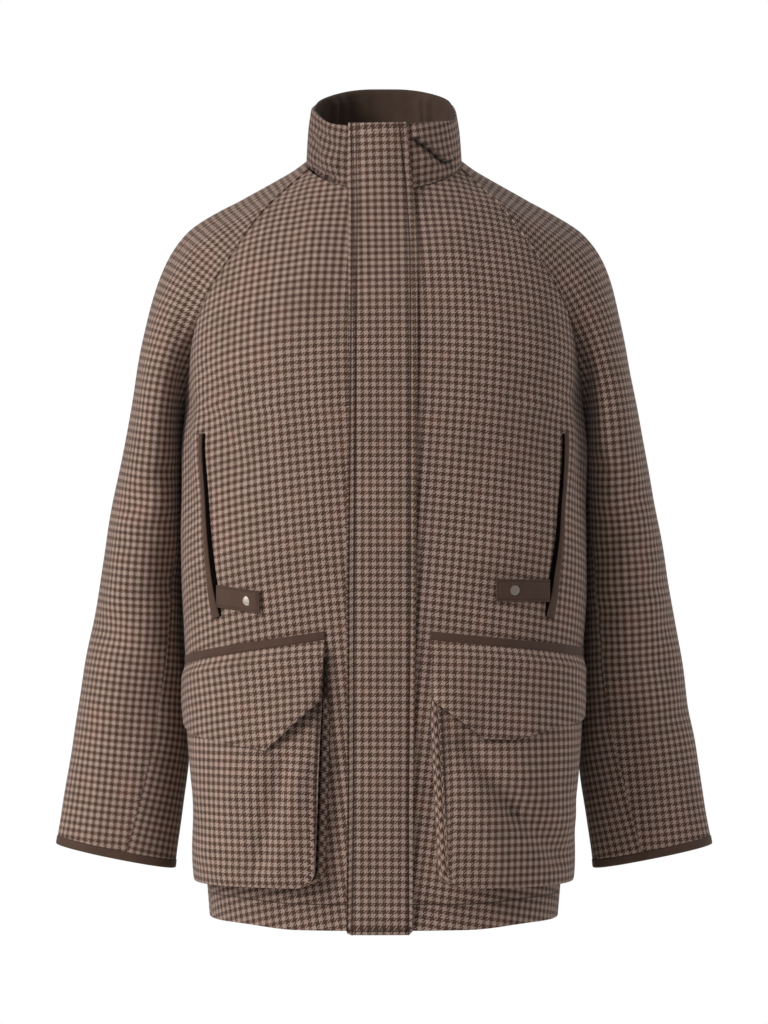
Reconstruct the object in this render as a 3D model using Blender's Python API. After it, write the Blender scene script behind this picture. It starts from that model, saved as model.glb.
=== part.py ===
"""A hip-length field coat of checked wool, hollow as it is worn, with nobody in it.

Metres, +Z up. The front faces -Y and the wearer's left is +X. The origin is the middle of the neck
at the height of the neck points, where the wearer's shoulders carry the coat.
"""

import math

import bmesh
import bpy
import numpy as np
from mathutils import Vector

# Cloth and seams
WALL = 0.0022          # wool cloth
DOUBLE_WALL = 0.0030   # two layers of wool, in the flaps
TRIM_WALL = 0.0018     # smooth brown trim
FACING_WALL = 0.0012   # collar facing
SEAM_GAP = 0.0003      # between neighbouring pieces
LAY_GAP = 0.0004       # under what lies on a panel

# Body, from the hem to the underarm
HEM_Z = -0.814
UNDERARM_Z = -0.265
BODY_SQUARENESS = 2.6
BODY_SECTIONS = (
    # height, half_width, front_depth, back_depth
    (HEM_Z, 0.187, 0.138, 0.132),
    (-0.700, 0.197, 0.141, 0.134),
    (-0.600, 0.2085, 0.142, 0.133),
    (-0.460, 0.2180, 0.139, 0.130),
    (UNDERARM_Z, 0.2140, 0.136, 0.134),
)

# Neckline, and how the cloth leaves it
NECK_HALF_WIDTH = 0.0837
NECK_FRONT = 0.070
NECK_BACK = 0.078
NECK_FRONT_Z = -0.036
NECK_BACK_Z = 0.020
SHOULDER_SLOPE = math.radians(29.0)
CHEST_SLOPE = math.radians(68.0)
NAPE_SLOPE = math.radians(57.0)
CHEST_RISE = 0.100     # how far the cloth goes straight up from the underarm level
SIDE_RISE = 0.050      # added to that at the sides
NECK_REACH = 0.085     # how far the cloth leaves the neck straight
SIDE_REACH = 0.020     # added to that at the sides

# Seams of the body, as turns about the body from the centre front
FRONT_SEAM = (
    # rise, turn_degrees
    (0.00, 90.0),
    (0.10, 82.0),
    (0.30, 71.0),
    (0.50, 66.0),
    (0.75, 68.0),
    (1.00, 75.0),
)
BACK_SEAM = (
    # rise, turn_degrees
    (0.00, 90.0),
    (0.10, 103.0),
    (0.30, 118.0),
    (0.50, 125.0),
    (0.75, 127.0),
    (1.00, 122.0),
)
SIDE_SEAM_HEM_TURN = 77.0
NECK_POINT_TURN = 100.0

# Largest folds of the body: depth is outwards, side 0 is both sides
BODY_FOLDS = (
    # side, turn_degrees, height, turn_spread, height_spread, lean_degrees_per_metre, depth
    (0, 118.0, -0.42, 9.0, 0.20, 20.0, -0.006),
    (0, 142.0, -0.50, 9.0, 0.24, -15.0, 0.005),
    (-1, 166.0, -0.48, 8.0, 0.22, 10.0, -0.005),
    (1, 171.0, -0.55, 8.0, 0.18, -10.0, -0.004),
    (0, 74.0, -0.30, 8.0, 0.09, 60.0, -0.005),
)

# Sleeve: a cap from the raglan seam to the upper arm, and sections of the arm below it
SLEEVE_SQUARENESS = 2.15
ARM_SECTIONS = (
    # top_x, top_z, under_x, under_z, half_depth, middle_y
    (0.2745, -0.262, 0.2165, -0.327, 0.088, 0.035),
    (0.3040, -0.432, 0.2170, -0.470, 0.080, 0.042),
    (0.3320, -0.602, 0.2120, -0.632, 0.062, 0.034),
    (0.3550, -0.736, 0.2260, -0.762, 0.040, 0.015),
)
CAP_REACH = {"seam_top": 0.57, "seam": 0.34, "arm_top": 0.62, "arm": 0.40}   # shares of the cap's length
CAP_TOP_SHARE = 0.45      # how far round from the top line the longer reach fades
ARMHOLE_LIFT = 0.45       # how steeply the sleeve leaves the body in the armhole
UNDERARM_LIFT = 0.06      # the same at its lowest point
CAP_SPREAD = math.radians(40.0)   # how far the cap's cloth turns away from the raglan seam
CAP_STEPS = np.array((0.0, 0.06, 0.14, 0.23, 0.32, 0.41, 0.50, 0.60, 0.72, 0.86, 1.0))
ARM_STEPS = (4, 3, 3)
SLEEVE_SEAMS = (
    # along_share, front_share, back_share of the way from the top line to the under line
    (0.00, 0.93, 0.72),
    (0.30, 0.85, 0.70),
    (0.48, 0.75, 0.67),
    (0.70, 0.67, 0.64),
    (1.00, 0.57, 0.62),
)
SLEEVE_FOLDS = (
    # side, share_round, along, share_spread, along_spread, lean_share_per_metre, depth
    (0, 0.55, 0.30, 0.16, 0.030, 2.0, -0.005),
    (0, 0.30, 0.42, 0.18, 0.035, 2.5, -0.004),
    (-1, 0.62, 0.47, 0.16, 0.028, -2.0, -0.005),
    (1, 0.20, 0.50, 0.16, 0.028, -1.5, -0.004),
    (0, -0.45, 0.38, 0.20, 0.030, -2.0, -0.006),
    (0, -0.40, 0.48, 0.20, 0.030, 2.0, -0.005),
)
CUFF_BINDING_WIDTH = 0.0095

# Standing collar
COLLAR_FRONT_Z = 0.037
COLLAR_SIDE_Z = 0.053
COLLAR_BACK_Z = 0.087
COLLAR_HALF_WIDTH = 0.0785
COLLAR_FRONT = 0.069
COLLAR_BACK = 0.074
COLLAR_BULGE = 0.0015
COLLAR_RISES = (0.006, 0.20, 0.60, 1.0)

# Storm flap over the closure
STORM_FLAP_X = (-0.0395, 0.0305)
STORM_FLAP_BELOW_HEM = 0.004
STORM_FLAP_CORNER = 0.012
STORM_FLAP_NECK_SHARE = 0.3   # how far below the neckline it turns up to the collar

# Cargo pockets: distances along the cloth from the centre front, and heights
POCKETS = {
    # side: inner_top, inner_bottom, outer_top, outer_bottom
    -1: (0.0615, 0.070, 0.260, 0.236),
    1: (0.0460, 0.062, 0.260, 0.236),
}
TRIM_HEIGHT = 0.0095
TRIM_INNER_Z = -0.5015
TRIM_OUTER_Z = -0.5310
MOUTH_BELOW_TRIM = 0.019
BAG_BOTTOM_Z = -0.768
BAG_CORNER = 0.018
BAG_MOUTH_STAND = 0.0065
BAG_STAND = 0.0165
BAG_CROWN = 0.004
FLAP_CLEARANCE = 0.0010
FLAP_RAMP = 0.015
FLAP_OVERHANG = 0.004
FLAP_POINT_SHARE = {-1: 0.335, 1: 0.40}
FLAP_DROPS = (0.062, 0.103, 0.060)   # below the trim: inner side, point, outer side
GUSSET_INSET = 0.0006
GUSSET_FOLD = 0.004

# Handwarmer pockets
WELT_WIDTH = 0.0058
WELT_WALL = 0.0026
WELT_PATH = (
    # x, z
    (0.1930, -0.294),
    (0.1925, -0.352),
    (0.1905, -0.425),
    (0.1845, -0.462),
    (0.1765, -0.487),
)
TABS = {
    # side: inner_x, outer_x, inner_z, outer_z of the middle line, and the snap's x
    -1: (0.1290, 0.1740, -0.4715, -0.4660, 0.1420),
    1: (0.1165, 0.1700, -0.4585, -0.4600, 0.1360),
}
TAB_WIDTH = 0.0235
SNAP_RADIUS = 0.0053
SNAP_HEIGHT = 0.0020

# How finely the cloth is divided
FRONT_COLUMNS = 10
BACK_COLUMNS = 10
BODY_ROWS = 12
UPPER_RISES = np.array((0.0, 0.06, 0.13, 0.22, 0.33, 0.45, 0.58, 0.72, 0.86, 1.0))
RISES = np.concatenate((np.linspace(-1.0, 0.0, BODY_ROWS + 1)[:-1], UPPER_RISES))
NECK_FRONT_TURNS = (75.0, 87.5, NECK_POINT_TURN)
NECK_BACK_TURNS = (122.0, 111.0, NECK_POINT_TURN)
LOOP_STEPS = 4
SMALL = 1e-4

# Finishes
TWEED = ("tweed", (0.165, 0.112, 0.086), 0.95, 0.0)
TRIM = ("brown_trim", (0.075, 0.048, 0.035), 0.80, 0.0)
FACING = ("facing", (0.060, 0.036, 0.026), 0.85, 0.0)
METAL = ("snap_metal", (0.42, 0.38, 0.34), 0.35, 1.0)


# Helpers


def smooth(start, end, value):
    """0 before start, 1 after end, with a soft step between."""
    share = np.clip((value - start) / (end - start), 0.0, 1.0)
    return share * share * (3.0 - 2.0 * share)


def unit(vectors):
    return vectors / np.linalg.norm(vectors, axis=-1, keepdims=True)


def through(knots, rows, at, first_slope=None, last_slope=None):
    """Read a smooth curve through rows[knot, point, value] at one place for each point."""
    steps = np.diff(knots)[:, None, None]
    chords = np.diff(rows, axis=0) / steps
    slopes = np.empty_like(rows)
    slopes[0] = chords[0] if first_slope is None else first_slope
    slopes[-1] = chords[-1] if last_slope is None else last_slope
    slopes[1:-1] = (chords[:-1] * steps[1:] + chords[1:] * steps[:-1]) / (steps[1:] + steps[:-1])
    row = np.clip(np.searchsorted(knots, at, side="right") - 1, 0, len(knots) - 2)
    point = np.arange(len(at))
    step = np.diff(knots)[row][:, None]
    t = (at - knots[row])[:, None] / step
    start = (1 + 2 * t) * (1 - t) ** 2 * rows[row, point] + t * (1 - t) ** 2 * step * slopes[row, point]
    end = t * t * (3 - 2 * t) * rows[row + 1, point] + t * t * (t - 1) * step * slopes[row + 1, point]
    return start + end


def read_table(table, at, last_slope=None):
    """Read the columns of a table at the places in its first column."""
    table = np.array(table, dtype=float)
    at = np.atleast_1d(np.asarray(at, dtype=float))
    rows = np.repeat(table[:, None, 1:], len(at), axis=1)
    return through(table[:, 0], rows, at, last_slope=last_slope)


def outward(surface, first, second):
    """Unit normals of surface(first, second), pointing out of the coat."""
    across = surface(first + SMALL, second) - surface(first - SMALL, second)
    along = surface(first, second + SMALL) - surface(first, second - SMALL)
    return unit(np.cross(across, along))


# Body surface


def neckline(turn):
    depth = np.where(np.cos(turn) > 0, NECK_FRONT, NECK_BACK)
    tilt = (NECK_BACK_Z - NECK_FRONT_Z) / 2
    dip = (NECK_BACK_Z + NECK_FRONT_Z) / 2
    height = -tilt * np.cos(turn) + dip * np.cos(turn) ** 2
    return np.stack((NECK_HALF_WIDTH * np.sin(turn), -depth * np.cos(turn), height), axis=-1)


def body_section(turn, height):
    """A rounded section of the body, and the direction out of it."""
    half_width, front, back = read_table(BODY_SECTIONS, height, last_slope=0.0).T
    depth = np.where(np.cos(turn) > 0, front, back)
    power = 2.0 / BODY_SQUARENESS
    across = np.sign(np.sin(turn)) * np.abs(np.sin(turn)) ** power
    along = np.sign(np.cos(turn)) * np.abs(np.cos(turn)) ** power
    points = np.stack((half_width * across, -depth * along, height), axis=-1)
    out = np.stack((np.sin(turn) / half_width, -np.cos(turn) / depth, np.zeros_like(turn)), axis=-1)
    return points, unit(out)


def fold_depth(folds, first, second, mirrored):
    """Sum of the folds at places on a surface; mirrored is the side that is being made, or its sign."""
    depth = np.zeros_like(first)
    for side, middle, height, spread, height_spread, lean, amount in folds:
        shown = 1.0 if side == 0 else (np.sign(mirrored) == side)
        line = (first - middle - lean * (second - height)) / spread
        depth += shown * amount * np.exp(-line ** 2 - ((second - height) / height_spread) ** 2)
    return depth


def torso(turn, rise, side=1):
    """The body's cloth: rise is -1 at the hem, 0 at the underarm and 1 at the neckline."""
    turn, rise = np.broadcast_arrays(np.asarray(turn, float), np.asarray(rise, float))
    shape = turn.shape
    turn, rise = turn.ravel(), rise.ravel()
    height = UNDERARM_Z + np.clip(-rise, 0.0, None) * (HEM_Z - UNDERARM_Z)
    base, out = body_section(turn, height)
    level = np.cos(turn) ** 2
    slope = SHOULDER_SLOPE + (np.where(np.cos(turn) > 0, CHEST_SLOPE, NAPE_SLOPE) - SHOULDER_SLOPE) * level
    down = np.stack((np.cos(slope) * np.sin(turn), -np.cos(slope) * np.cos(turn), -np.sin(slope)), axis=-1)
    neck = neckline(turn)
    up = np.zeros_like(base)
    up[:, 2] = CHEST_RISE + SIDE_RISE * (1 - level)
    t = np.clip(rise, 0.0, None)[:, None]
    points = (1 - t) ** 3 * base + 3 * (1 - t) ** 2 * t * (base + up)
    points += 3 * (1 - t) * t * t * (neck + down * (NECK_REACH + SIDE_REACH * (1 - level))[:, None])
    points += t ** 3 * neck
    half_turn = np.degrees(np.arccos(np.clip(np.cos(turn), -1.0, 1.0)))
    folds = fold_depth(BODY_FOLDS, half_turn, points[:, 2], side * np.sin(turn))
    return (points + out * folds[:, None]).reshape(shape + (3,))


def seam_turn(table, rise):
    """Turn of a panel's outer edge: a raglan seam above the underarm, the side seam below it."""
    rise = np.asarray(rise, float)
    raglan = read_table(table, np.clip(rise.ravel(), 0.0, 1.0))[:, 0].reshape(rise.shape)
    share = smooth(0.0, 1.0, -rise)
    side_seam = table[0][1] + (SIDE_SEAM_HEM_TURN - table[0][1]) * share
    return np.radians(np.where(rise < 0, side_seam, raglan))


# Sleeve surface


def seam_loop(table, neck_turns):
    """Half of the sleeve's top edge, from the neck point down a raglan seam to the underarm.

    Gives the share of the way, the points, the way that the sleeve leaves the seam, the body's
    normals there, how high each point is on the seam, and which points the panels share.
    """
    neck = np.radians(neck_turns)
    turns = [np.linspace(a, b, LOOP_STEPS, endpoint=False) for a, b in zip(neck[:0:-1], neck[-2::-1])]
    turns = np.concatenate(turns)
    rises = UPPER_RISES[::-1]
    rises = [np.linspace(a, b, LOOP_STEPS, endpoint=False) for a, b in zip(rises[:-1], rises[1:])]
    rises = np.append(np.concatenate(rises), 0.0)
    turns = np.append(turns, seam_turn(table, rises))
    rises = np.append(np.ones(len(turns) - len(rises)), rises)
    points = torso(turns, rises)
    normals = outward(torso, turns, rises)
    ahead = unit(np.gradient(points, axis=0))
    away = np.cross(normals, ahead) * np.sign(neck[-1] - neck[0])
    shoulder = unit(torso(turns[:1], rises[:1] - SMALL) - points[:1])
    near_neck = smooth(0.70, 1.0, rises)[:, None]
    spread = ahead * math.cos(CAP_SPREAD) + away * math.sin(CAP_SPREAD)
    leave = unit(spread * (1 - near_neck) + shoulder * near_neck)
    lengths = np.append(0.0, np.cumsum(np.linalg.norm(np.diff(points, axis=0), axis=1)))
    shared = np.arange(0, len(points), LOOP_STEPS)
    return lengths / lengths[-1], points, leave, normals, rises, shared


LOOPS = {1: seam_loop(FRONT_SEAM, NECK_FRONT_TURNS), -1: seam_loop(BACK_SEAM, NECK_BACK_TURNS)}


def read_loop(share, item):
    """Read an item of the seam loop at shares from the neck point: above 0 in front, below 0 behind."""
    values = {side: LOOPS[side][item].reshape(len(LOOPS[side][0]), -1) for side in LOOPS}
    columns = []
    for column in range(values[1].shape[1]):
        front = np.interp(share, LOOPS[1][0], values[1][:, column])
        back = np.interp(-share, LOOPS[-1][0], values[-1][:, column])
        columns.append(np.where(share >= 0, front, back))
    return np.stack(columns, axis=-1)


def arm_ring(section, share):
    """Points of a sleeve section at shares of the way from its top line to its under line."""
    top_x, top_z, under_x, under_z, half_depth, middle_y = section
    angle = np.linspace(0.0, math.pi, 81)
    power = 2.0 / SLEEVE_SQUARENESS
    along = np.sign(np.cos(angle)) * np.abs(np.cos(angle)) ** power
    out = np.abs(np.sin(angle)) ** power * half_depth
    x = (top_x + under_x) / 2 + along * (top_x - under_x) / 2
    z = (top_z + under_z) / 2 + along * (top_z - under_z) / 2
    steps = np.sqrt(np.diff(x) ** 2 + np.diff(z) ** 2 + np.diff(out) ** 2)
    way = np.append(0.0, np.cumsum(steps))
    way /= way[-1]
    reach = np.abs(share)
    y = middle_y - np.sign(share) * np.interp(reach, way, out)
    return np.stack((np.interp(reach, way, x), y, np.interp(reach, way, z)), axis=-1)


def sleeve_lengths():
    """Distances along the sleeve's middle line from the raglan seam to each section of the arm."""
    middles = [(neckline(np.radians(NECK_POINT_TURN)) + torso(math.pi / 2, 0.0)) / 2]
    for top_x, top_z, under_x, under_z, _, middle_y in ARM_SECTIONS:
        middles.append(np.array(((top_x + under_x) / 2, middle_y, (top_z + under_z) / 2)))
    steps = np.linalg.norm(np.diff(np.array(middles), axis=0), axis=1)
    return np.cumsum(steps)


ARM_ALONG = sleeve_lengths()
CAP_LENGTH = ARM_ALONG[0]
SLEEVE_LENGTH = ARM_ALONG[-1]


def sleeve_cap(share, along, arm, arm_way):
    """The cap: curves that leave the raglan seam along the body and reach the upper arm along it."""
    seam, leave, body_out = (read_loop(share, item) for item in (1, 2, 3))
    rise = read_loop(share, 4)
    upper = smooth(0.10, 0.60, rise)
    chord = arm - seam
    length = np.linalg.norm(chord, axis=1, keepdims=True)
    lift = UNDERARM_LIFT + (ARMHOLE_LIFT - UNDERARM_LIFT) * smooth(0.0, 0.20, rise)
    low_way = unit(chord / length + body_out * lift)
    way = unit(leave * upper + low_way * (1 - upper))
    top = 1.0 - smooth(0.0, CAP_TOP_SHARE, np.abs(share))[:, None]
    seam_reach = CAP_REACH["seam"] + (CAP_REACH["seam_top"] - CAP_REACH["seam"]) * top
    arm_reach = CAP_REACH["arm"] + (CAP_REACH["arm_top"] - CAP_REACH["arm"]) * top
    t = (along / CAP_LENGTH)[:, None]
    points = (1 - t) ** 3 * seam + 3 * (1 - t) ** 2 * t * (seam + way * length * seam_reach)
    return points + 3 * (1 - t) * t * t * (arm - arm_way * length * arm_reach) + t ** 3 * arm


def plain_sleeve(share, along):
    share, along = np.broadcast_arrays(np.asarray(share, float), np.asarray(along, float))
    shape = share.shape
    share, along = share.ravel(), along.ravel()
    share = (share + 1.0) % 2.0 - 1.0
    rings = np.stack([arm_ring(section, share) for section in ARM_SECTIONS])
    cap = sleeve_cap(share, along, rings[0], unit(rings[1] - rings[0]))
    arm = through(ARM_ALONG, rings, np.clip(along, CAP_LENGTH, None))
    return np.where((along < CAP_LENGTH)[:, None], cap, arm).reshape(shape + (3,))


def sleeve(share, along, side=1):
    """The sleeve's cloth with its folds."""
    share, along = np.broadcast_arrays(np.asarray(share, float), np.asarray(along, float))
    folds = fold_depth(SLEEVE_FOLDS, share, along, side * np.ones_like(share))
    return plain_sleeve(share, along) + outward(plain_sleeve, share, along) * folds[..., None]


# Collar surface


def collar(turn, rise):
    """The standing collar's outside: rise is 0 at the neckline and 1 at the top edge."""
    turn, rise = np.broadcast_arrays(np.asarray(turn, float), np.asarray(rise, float))
    across, along = np.sin(turn), np.cos(turn)
    tilt = (COLLAR_BACK_Z - COLLAR_FRONT_Z) / 2
    dish = (COLLAR_BACK_Z + COLLAR_FRONT_Z) / 2 - COLLAR_SIDE_Z
    height = COLLAR_SIDE_Z - tilt * along + dish * along ** 2
    depth = np.where(along > 0, COLLAR_FRONT, COLLAR_BACK)
    top = np.stack((COLLAR_HALF_WIDTH * across, -depth * along, height), axis=-1)
    bulge = COLLAR_BULGE * np.sin(math.pi * rise)
    out = np.stack((across * bulge, -along * bulge, np.zeros_like(bulge)), axis=-1)
    return neckline(turn) * (1 - rise)[..., None] + top * rise[..., None] + out


# Making solids


def make_material(finish):
    name, colour, roughness, metallic = finish
    material = bpy.data.materials.new(name)
    material.use_nodes = True
    shader = material.node_tree.nodes["Principled BSDF"]
    shader.inputs["Base Color"].default_value = (*colour, 1.0)
    shader.inputs["Roughness"].default_value = roughness
    shader.inputs["Metallic"].default_value = metallic
    return material


def add_object(name, mesh, finish):
    mesh.materials.append(make_material((f"{name}_{finish[0]}",) + finish[1:]))
    piece = bpy.data.objects.new(name, mesh)
    piece.parent = bpy.data.objects["wearer_shoulders"]
    bpy.data.collections["field_coat"].objects.link(piece)
    return piece


def cloth_wall(name, outer, inner, finish, side=1, ring=False):
    """A wall between an outer and an inner grid of points[row, column]; a ring's columns close."""
    rows, columns = outer.shape[:2]
    flip = np.array((side, 1.0, 1.0))
    build = bmesh.new()
    skins = []
    for grid in (outer, inner):
        skins.append([[build.verts.new(point * flip) for point in row] for row in grid])
    last = columns if ring else columns - 1
    for skin in skins:
        for r in range(rows - 1):
            for c in range(last):
                d = (c + 1) % columns
                build.faces.new((skin[r][c], skin[r][d], skin[r + 1][d], skin[r + 1][c]))
    front, back = skins
    for r in (0, rows - 1):
        for c in range(last):
            d = (c + 1) % columns
            build.faces.new((front[r][c], back[r][c], back[r][d], front[r][d]))
    for c in () if ring else (0, columns - 1):
        for r in range(rows - 1):
            build.faces.new((front[r][c], front[r + 1][c], back[r + 1][c], back[r][c]))
    bmesh.ops.recalc_face_normals(build, faces=build.faces)
    mesh = bpy.data.meshes.new(name)
    build.to_mesh(mesh)
    build.free()
    mesh.shade_smooth()
    mesh.set_sharp_from_angle(angle=math.radians(40.0))
    return add_object(name, mesh, finish)


def side_name(name, side):
    return f"{name}_{'left' if side > 0 else 'right'}"


# Body pieces


def make_front(side):
    """One front, from the centre front round to the side seam and the raglan seam."""
    def cloth(turn, rise):
        return torso(turn, rise, side)

    edge = seam_turn(FRONT_SEAM, RISES)[:, None]
    share = np.linspace(0.0, 1.0, FRONT_COLUMNS + 1)[None, :]
    turn, rise = edge * share, np.broadcast_to(RISES[:, None], (len(RISES), FRONT_COLUMNS + 1))
    speed = np.linalg.norm(cloth(turn + SMALL, rise) - cloth(turn - SMALL, rise), axis=-1) / (2 * SMALL)
    turn = turn - (share == 1.0) * SEAM_GAP / 2 / speed
    outer = cloth(turn, rise)
    inner = outer - outward(cloth, turn, rise) * WALL
    for grid in (outer, inner):
        grid[:, 0, 0] = SEAM_GAP / 2
    cloth_wall(side_name("front", side), outer, inner, TWEED, side)


def make_back(side):
    """One half of the back, from the side seam and the raglan seam to the seam down the centre back."""
    def cloth(turn, rise):
        return torso(turn, rise, side)

    edge = seam_turn(BACK_SEAM, RISES)[:, None]
    share = np.linspace(0.0, 1.0, BACK_COLUMNS + 1)[None, :]
    turn = edge + share * (math.pi - edge)
    rise = np.broadcast_to(RISES[:, None], turn.shape)
    speed = np.linalg.norm(cloth(turn + SMALL, rise) - cloth(turn - SMALL, rise), axis=-1) / (2 * SMALL)
    turn = turn + (share == 0.0) * SEAM_GAP / 2 / speed
    outer = cloth(turn, rise)
    inner = outer - outward(cloth, turn, rise) * WALL
    for grid in (outer, inner):
        grid[:, -1, 0] = SEAM_GAP / 2
    cloth_wall(side_name("back", side), outer, inner, TWEED, side)


# Sleeve pieces


def sleeve_rows():
    rows = [CAP_STEPS * CAP_LENGTH]
    for start, end, steps in zip(ARM_ALONG[:-1], ARM_ALONG[1:], ARM_STEPS):
        rows.append(np.linspace(start, end, steps + 1)[1:])
    rows = np.concatenate(rows)
    rows[-1] -= CUFF_BINDING_WIDTH + SEAM_GAP
    return rows


def shared_shares():
    """Shares round the sleeve at which its top edge meets the body's rows, from behind to the front."""
    front = LOOPS[1][0][LOOPS[1][5]]
    back = LOOPS[-1][0][LOOPS[-1][5]]
    return np.concatenate((-back[:0:-1], front))


def panel_shares(first, last, columns, along):
    """Shares round the sleeve of a panel's columns between the seams first and last."""
    spacing = (columns - columns[0]) / (columns[-1] - columns[0])
    begin, end = first(along)[:, None], last(along)[:, None]
    return begin + spacing[None, :] * (end - begin)


def make_sleeve_panel(name, side, first, last, columns):
    """A sleeve panel between seams first(along) and last(along), shares round the sleeve."""
    def cloth(share, along):
        return sleeve(share, along, side)

    rows = sleeve_rows()
    share = panel_shares(first, last, columns, rows)
    along = np.broadcast_to(rows[:, None], share.shape)
    speed = np.linalg.norm(cloth(share + SMALL, along) - cloth(share - SMALL, along), axis=-1) / (2 * SMALL)
    share[:, 0] += SEAM_GAP / 2 / speed[:, 0]
    share[:, -1] -= SEAM_GAP / 2 / speed[:, -1]
    outer = cloth(share, along)
    normals = outward(cloth, share, along + SMALL)
    turned = (share[0] + 1.0) % 2.0 - 1.0
    upper = smooth(0.25, 0.55, read_loop(turned, 4))
    normals[0] = unit(read_loop(turned, 3) * upper + normals[0] * (1 - upper))
    outer[0] += unit(outer[1] - outer[0]) * SEAM_GAP
    cloth_wall(side_name(name, side), outer, outer - normals * WALL, TWEED, side)


def make_sleeve(side):
    """Top and under sleeve, which meet at a front and a back seam, and the cuff's binding."""
    columns = shared_shares()

    def seam(column, way):
        start = columns[np.argmin(np.abs(columns - way * SLEEVE_SEAMS[0][1 + column]))]

        def read(along):
            share = way * read_table(SLEEVE_SEAMS, along / SLEEVE_LENGTH)[:, column]
            return share + (start - way * SLEEVE_SEAMS[0][1 + column]) * (1 - along / SLEEVE_LENGTH)
        return read

    front, back = seam(0, 1.0), seam(1, -1.0)
    first, last = back(np.zeros(1))[0], front(np.zeros(1))[0]
    top = columns[(columns >= first) & (columns <= last)]
    under = np.concatenate((columns[columns >= last], columns[1:][columns[1:] <= first] + 2.0))
    make_sleeve_panel("sleeve_top", side, back, front, top)

    def back_again(along):
        return back(along) + 2.0

    make_sleeve_panel("sleeve_under", side, front, back_again, under)
    cuff = np.array((SLEEVE_LENGTH - CUFF_BINDING_WIDTH, SLEEVE_LENGTH))
    shares = (panel_shares(back, front, top, cuff), panel_shares(front, back_again, under, cuff))
    make_cuff_binding(side, np.concatenate((shares[0][:, :-1], shares[1][:, :-1]), axis=1), cuff)


def make_cuff_binding(side, share, along):
    """The brown binding round the sleeve's end."""
    def cloth(share, along):
        return sleeve(share, along, side)

    along = np.broadcast_to(along[:, None], share.shape)
    points, normals = cloth(share, along), outward(cloth, share, along)
    cloth_wall(side_name("cuff_binding", side), points + normals * LAY_GAP, points - normals * WALL, TRIM,
               side, ring=True)


# Collar


def collar_turns():
    """Turns of the columns of the collar, shared with the panels below it."""
    front = np.radians(NECK_FRONT_TURNS[0]) * np.linspace(0.0, 1.0, FRONT_COLUMNS + 1)
    neck = np.radians(NECK_FRONT_TURNS[1:] + NECK_BACK_TURNS[1::-1])
    back = np.linspace(np.radians(NECK_BACK_TURNS[0]), math.pi, BACK_COLUMNS + 1)[1:]
    half = np.concatenate((front, neck, back))
    half[0] = SEAM_GAP / NECK_FRONT
    return np.concatenate((half, 2 * math.pi - half[-2::-1]))


def make_collar():
    turn = collar_turns()[None, :]
    rise = np.array(COLLAR_RISES)[:, None]
    turn, rise = (np.array(grid) for grid in np.broadcast_arrays(turn, rise))
    outer = collar(turn, rise)
    normals = outward(collar, turn, rise)
    cloth_wall("collar", outer, outer - normals * WALL, TWEED)
    lining = outer - normals * (WALL + SEAM_GAP)
    cloth_wall("collar_facing", lining, lining - normals * FACING_WALL, FACING)


# What lies on the fronts


def front_place(distance, height, side):
    """Points and normals of a front at distances along the cloth from the centre front."""
    distance, height = np.broadcast_arrays(np.asarray(distance, float), np.asarray(height, float))
    rise = (height - UNDERARM_Z) / (UNDERARM_Z - HEM_Z)
    turns = np.linspace(0.0, math.radians(110.0), 111)
    turn = np.empty(distance.shape)
    for place in np.ndindex(distance.shape):
        ring = torso(turns, rise[place], side)
        way = np.append(0.0, np.cumsum(np.linalg.norm(np.diff(ring, axis=0), axis=1)))
        turn[place] = np.interp(distance[place], way, turns)
    return torso(turn, rise, side), outward(lambda a, b: torso(a, b, side), turn, rise)


def distance_at(x, height):
    """Distance along the cloth from the centre front to a place x metres from the middle plane."""
    turns = np.linspace(0.0, math.pi / 2, 91)
    distances = []
    for place_x, place_z in zip(np.ravel(x), np.ravel(height)):
        ring = torso(turns, (place_z - UNDERARM_Z) / (UNDERARM_Z - HEM_Z))
        way = np.append(0.0, np.cumsum(np.linalg.norm(np.diff(ring, axis=0), axis=1)))
        distances.append(np.interp(place_x, ring[:, 0], way))
    return np.array(distances).reshape(np.shape(x))


def lay(name, side, place, offset, wall, finish):
    """A piece of cloth that lies on a front, offset from it."""
    points, normals = place
    offset = np.broadcast_to(offset, points.shape[:-1])[..., None]
    return cloth_wall(side_name(name, side), points + normals * (offset + wall), points + normals * offset,
                      finish, side)


def make_storm_flap():
    """The strip over the closure, on both fronts and the collar."""
    first, last = STORM_FLAP_X
    from_edge = STORM_FLAP_CORNER * np.array((0.0, 0.12, 0.45, 1.0))
    x = np.concatenate((first + from_edge, np.linspace(first, last, 6)[2:4], last - from_edge[::-1]))
    turns = np.radians(np.linspace(-60.0, 60.0, 241))
    points, normals = [], []
    for surface, rises in ((torso, RISES), (collar, COLLAR_RISES[1:])):
        for rise in rises:
            ring = surface(turns, np.full_like(turns, rise))
            turn = np.interp(x, ring[:, 0], turns)
            points.append(surface(turn, np.full_like(turn, rise)))
            normals.append(outward(surface, turn, np.full_like(turn, rise)))
    points, normals = np.array(points), np.array(normals)
    neck = len(RISES) - 1
    points[neck] += (points[neck - 1] - points[neck]) * STORM_FLAP_NECK_SHARE
    corner = np.clip(1.0 - np.minimum(x - first, last - x) / STORM_FLAP_CORNER, 0.0, 1.0)
    round_up = STORM_FLAP_CORNER * (1.0 - np.sqrt(1.0 - corner ** 2))
    points[0, :, 2] -= STORM_FLAP_BELOW_HEM - round_up
    cloth_wall("storm_flap", points + normals * (LAY_GAP + DOUBLE_WALL), points + normals * LAY_GAP, TWEED)


def trim_line(share):
    """Height of the trim's lower edge at shares of the way from the inner to the outer end."""
    return TRIM_INNER_Z + (TRIM_OUTER_Z - TRIM_INNER_Z) * share - TRIM_HEIGHT


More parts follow.
